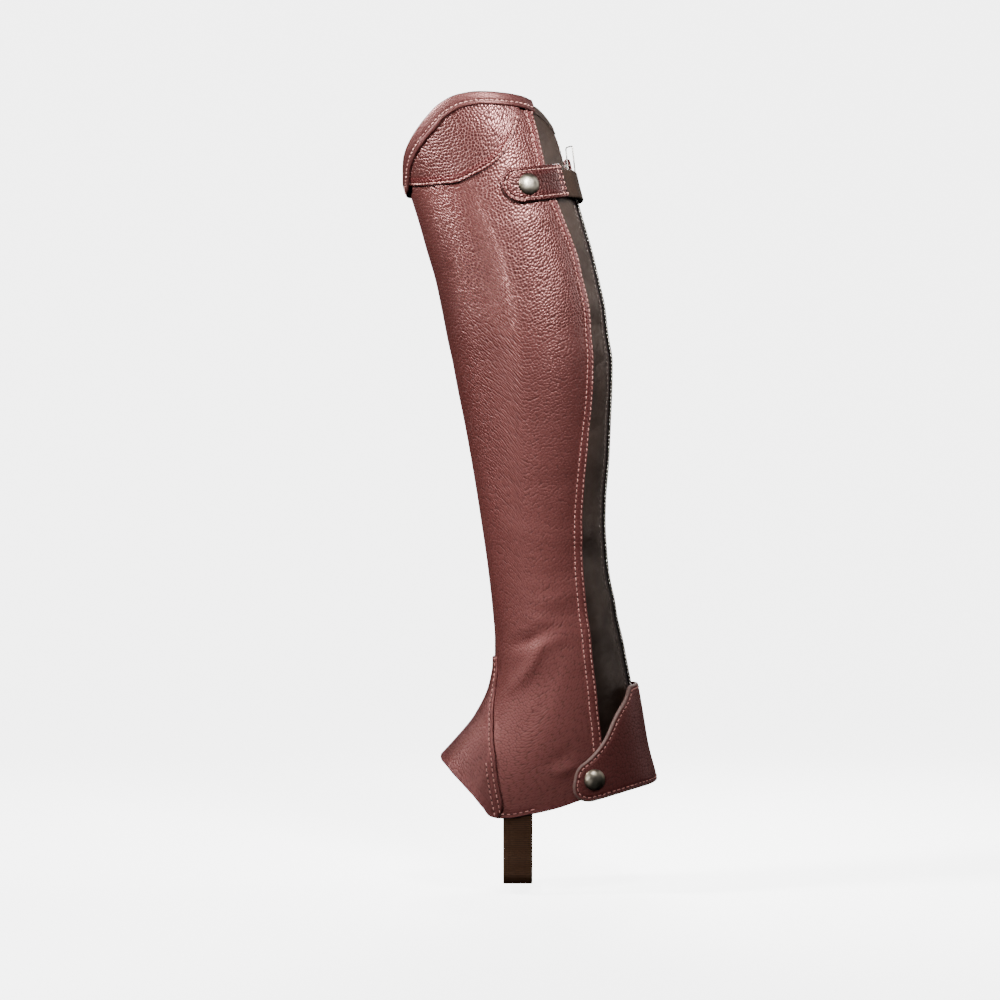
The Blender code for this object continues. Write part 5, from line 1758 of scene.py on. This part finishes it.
class HalfChapLeather(bpy.types.PropertyGroup):
    colour: colour_property("Colour", "Sides of the pebbles", (0.016, 0.0031, 0.0027))
    # Painted highlight on the pebble tops
    crown_highlight_colour: colour_property("Crowns", "Rubbed tops of the pebbles", (0.035, 0.0095, 0.0085))
    # Painted shade in the crevices; the dark cut edges use it too
    crevice_shade_colour: colour_property("Crevices", "Between the pebbles", (0.003, 0.0007, 0.0006))
    cloud_colour: colour_property("Clouding", "Slow changes over the hide", (0.012, 0.0025, 0.0022))
    # Painted light: lighter than the leather above, for the gloss and lamp light lost low on the leg
    low_painted_light_colour: colour_property("Low", "Matt leather at the ankle and heel", (0.041, 0.0062, 0.0052))
    seam_colour: colour_property("Seam", "Redder band along sewn edges", (0.03, 0.0033, 0.0036))
    gloss: share_property("Gloss", "Strength of its highlights", 1.0)
    edge_colour: colour_property("Edge", "Cut edge", (0.1, 0.05, 0.04))
    edge_dark: colour_property("Edge stain", "Stained fibres of the cut edge", (0.05, 0.02, 0.016))
    grain: FloatProperty(name="Grain", description="Size of a pebble, in millimetres", default=2.15, min=0.3)
    relief: FloatProperty(name="Relief", description="Depth of the grain, in millimetres", default=0.23,
                          min=0.0)
    roughness: share_property("Roughness", "On the tops of the grain", 0.24)


class HalfChapStretch(bpy.types.PropertyGroup):
    colour: colour_property("Colour", "Elastic panel", (0.006, 0.0032, 0.0025))
    # Lighter colour of the soft random blotches
    blotch_colour: colour_property("Worn", "Where it is stretched", (0.013, 0.0075, 0.0055))
    roughness: share_property("Roughness", "Satin face", 0.36)


class HalfChapWebbing(bpy.types.PropertyGroup):
    colour: colour_property("Colour", "Raised ribs", (0.06, 0.024, 0.009))
    # Painted shade on the low threads between the ribs
    groove_shade_colour: colour_property("Between ribs", "Low threads", (0.02, 0.0082, 0.0032))
    rib: FloatProperty(name="Rib", description="Distance between ribs, in millimetres", default=RIB, min=0.3)


class HalfChapThread(bpy.types.PropertyGroup):
    colour: colour_property("Colour", "Thread", (0.4, 0.19, 0.165))
    soiled_colour: colour_property("Soiled", "Thread rubbed with dye", (0.22, 0.075, 0.065))
    pitch: FloatProperty(name="Pitch", description="From stitch to stitch, in millimetres", default=3.5,
                         min=1.0)
    length: FloatProperty(name="Length", description="Of a stitch, in millimetres", default=2.0, min=0.5)
    thickness: FloatProperty(name="Thickness", description="Of the thread, in millimetres", default=0.65,
                             min=0.2)
    rise: FloatProperty(name="Rise", description="Of a stitch over the leather, in millimetres", default=0.3,
                        min=0.0)


class HalfChapSnap(bpy.types.PropertyGroup):
    colour: colour_property("Colour", "Rubbed metal", (0.36, 0.32, 0.26))
    tarnish: colour_property("Tarnish", "Dull patches", (0.3, 0.27, 0.21))
    # Painted shade at the dome's rim
    rim_shade_colour: colour_property("Rim", "Dark metal at the edge", (0.07, 0.05, 0.035))


class HalfChapStage(bpy.types.PropertyGroup):
    floor_colour: colour_property("Floor", "Paper sweep", (0.86, 0.86, 0.86))
    left_power: power_property("Left", "Left softbox", 6.4)
    key_power: power_property("Key", "Softbox over the camera", 4.3)
    right_power: power_property("Right", "Right softbox", 0.42)
    low_power: power_property("Low", "Softbox at the foot", 0.65)
    heel_power: power_property("Heel", "Softbox behind the heel", 0.055)
    rear_power: power_property("Rear", "Softbox behind", 9.0)
    top_power: power_property("Top", "Top softbox", 2.5)
    backdrop: FloatProperty(name="Backdrop", description="Glow of the lit paper", default=5.0, min=0.0)
    distance: FloatProperty(name="Distance", description="Camera to the leg", default=2.0, unit="LENGTH",
                            min=0.3)
    view_width: FloatProperty(name="View", description="Width seen at the leg", default=0.69, unit="LENGTH",
                              min=0.1)


class HalfChapLooks(bpy.types.PropertyGroup):
    leather: PointerProperty(type=HalfChapLeather)
    stretch: PointerProperty(type=HalfChapStretch)
    webbing: PointerProperty(type=HalfChapWebbing)
    thread: PointerProperty(type=HalfChapThread)
    snap: PointerProperty(type=HalfChapSnap)
    stage: PointerProperty(type=HalfChapStage)


class HALFCHAP_OT_main_leather(bpy.types.Operator):
    """Main leather panel with its seams"""
    bl_idname = "half_chap.main_leather"
    bl_label = "Main leather"

    def execute(self, context):
        make_main_leather()
        return {"FINISHED"}


class HALFCHAP_OT_knee(bpy.types.Operator):
    """Knee piece and the binding of the rim"""
    bl_idname = "half_chap.knee"
    bl_label = "Knee piece and binding"

    def execute(self, context):
        make_knee_leather()
        make_binding()
        return {"FINISHED"}


class HALFCHAP_OT_instep(bpy.types.Operator):
    """Instep piece"""
    bl_idname = "half_chap.instep"
    bl_label = "Instep piece"

    def execute(self, context):
        make_instep()
        return {"FINISHED"}


class HALFCHAP_OT_tabs(bpy.types.Operator):
    """Top tab and heel piece"""
    bl_idname = "half_chap.tabs"
    bl_label = "Top tab and heel piece"

    def execute(self, context):
        make_top_tab()
        make_heel_piece()
        return {"FINISHED"}


class HALFCHAP_OT_elastic(bpy.types.Operator):
    """Elastic panel, top strap and stirrup"""
    bl_idname = "half_chap.elastic"
    bl_label = "Elastic panel and straps"

    def execute(self, context):
        make_stretch()
        make_top_strap()
        make_stirrup()
        return {"FINISHED"}


class HALFCHAP_OT_zip(bpy.types.Operator):
    """Zip tapes, teeth, slider and pull"""
    bl_idname = "half_chap.zip"
    bl_label = "Zip"

    def execute(self, context):
        make_tapes()
        make_teeth()
        make_slider()
        make_pull()
        return {"FINISHED"}


class HALFCHAP_OT_snaps(bpy.types.Operator):
    """Snap fasteners"""
    bl_idname = "half_chap.snaps"
    bl_label = "Snaps"

    def execute(self, context):
        make_snaps()
        return {"FINISHED"}


class HALFCHAP_OT_stage(bpy.types.Operator):
    """Paper sweep, lights and camera"""
    bl_idname = "half_chap.stage"
    bl_label = "Stage"

    def execute(self, context):
        make_stage()
        return {"FINISHED"}


class HALFCHAP_PT_panel(bpy.types.Panel):
    """Lists the pieces and their looks"""
    bl_idname = "HALFCHAP_PT_panel"
    bl_label = "Half Chap"
    bl_space_type = "VIEW_3D"
    bl_region_type = "UI"
    bl_category = "Half Chap"

    def draw(self, context):
        looks = context.scene.half_chap_looks
        for operator in OPERATORS:
            self.layout.operator(operator.bl_idname)
        for name in ("leather", "stretch", "webbing", "thread", "snap", "stage"):
            group = getattr(looks, name)
            box = self.layout.box()
            box.label(text=name.capitalize())
            for key in group.__annotations__:
                box.prop(group, key)


OPERATORS = (
    HALFCHAP_OT_main_leather, HALFCHAP_OT_knee, HALFCHAP_OT_instep, HALFCHAP_OT_tabs, HALFCHAP_OT_elastic,
    HALFCHAP_OT_zip, HALFCHAP_OT_snaps, HALFCHAP_OT_stage,
)
GROUPS = (
    HalfChapLeather, HalfChapStretch, HalfChapWebbing, HalfChapThread, HalfChapSnap, HalfChapStage,
    HalfChapLooks,
)


def register():
    for item in GROUPS + OPERATORS + (HALFCHAP_PT_panel,):
        bpy.utils.register_class(item)
    bpy.types.Scene.half_chap_looks = PointerProperty(type=HalfChapLooks)


def unregister():
    del bpy.types.Scene.half_chap_looks
    for item in reversed(GROUPS + OPERATORS + (HALFCHAP_PT_panel,)):
        bpy.utils.unregister_class(item)


def main():
    register()
    bpy.ops.half_chap.main_leather()
    bpy.ops.half_chap.knee()
    bpy.ops.half_chap.instep()
    bpy.ops.half_chap.tabs()
    bpy.ops.half_chap.elastic()
    bpy.ops.half_chap.zip()
    bpy.ops.half_chap.snaps()
    bpy.ops.half_chap.stage()


if __name__ == "__main__":
    main()
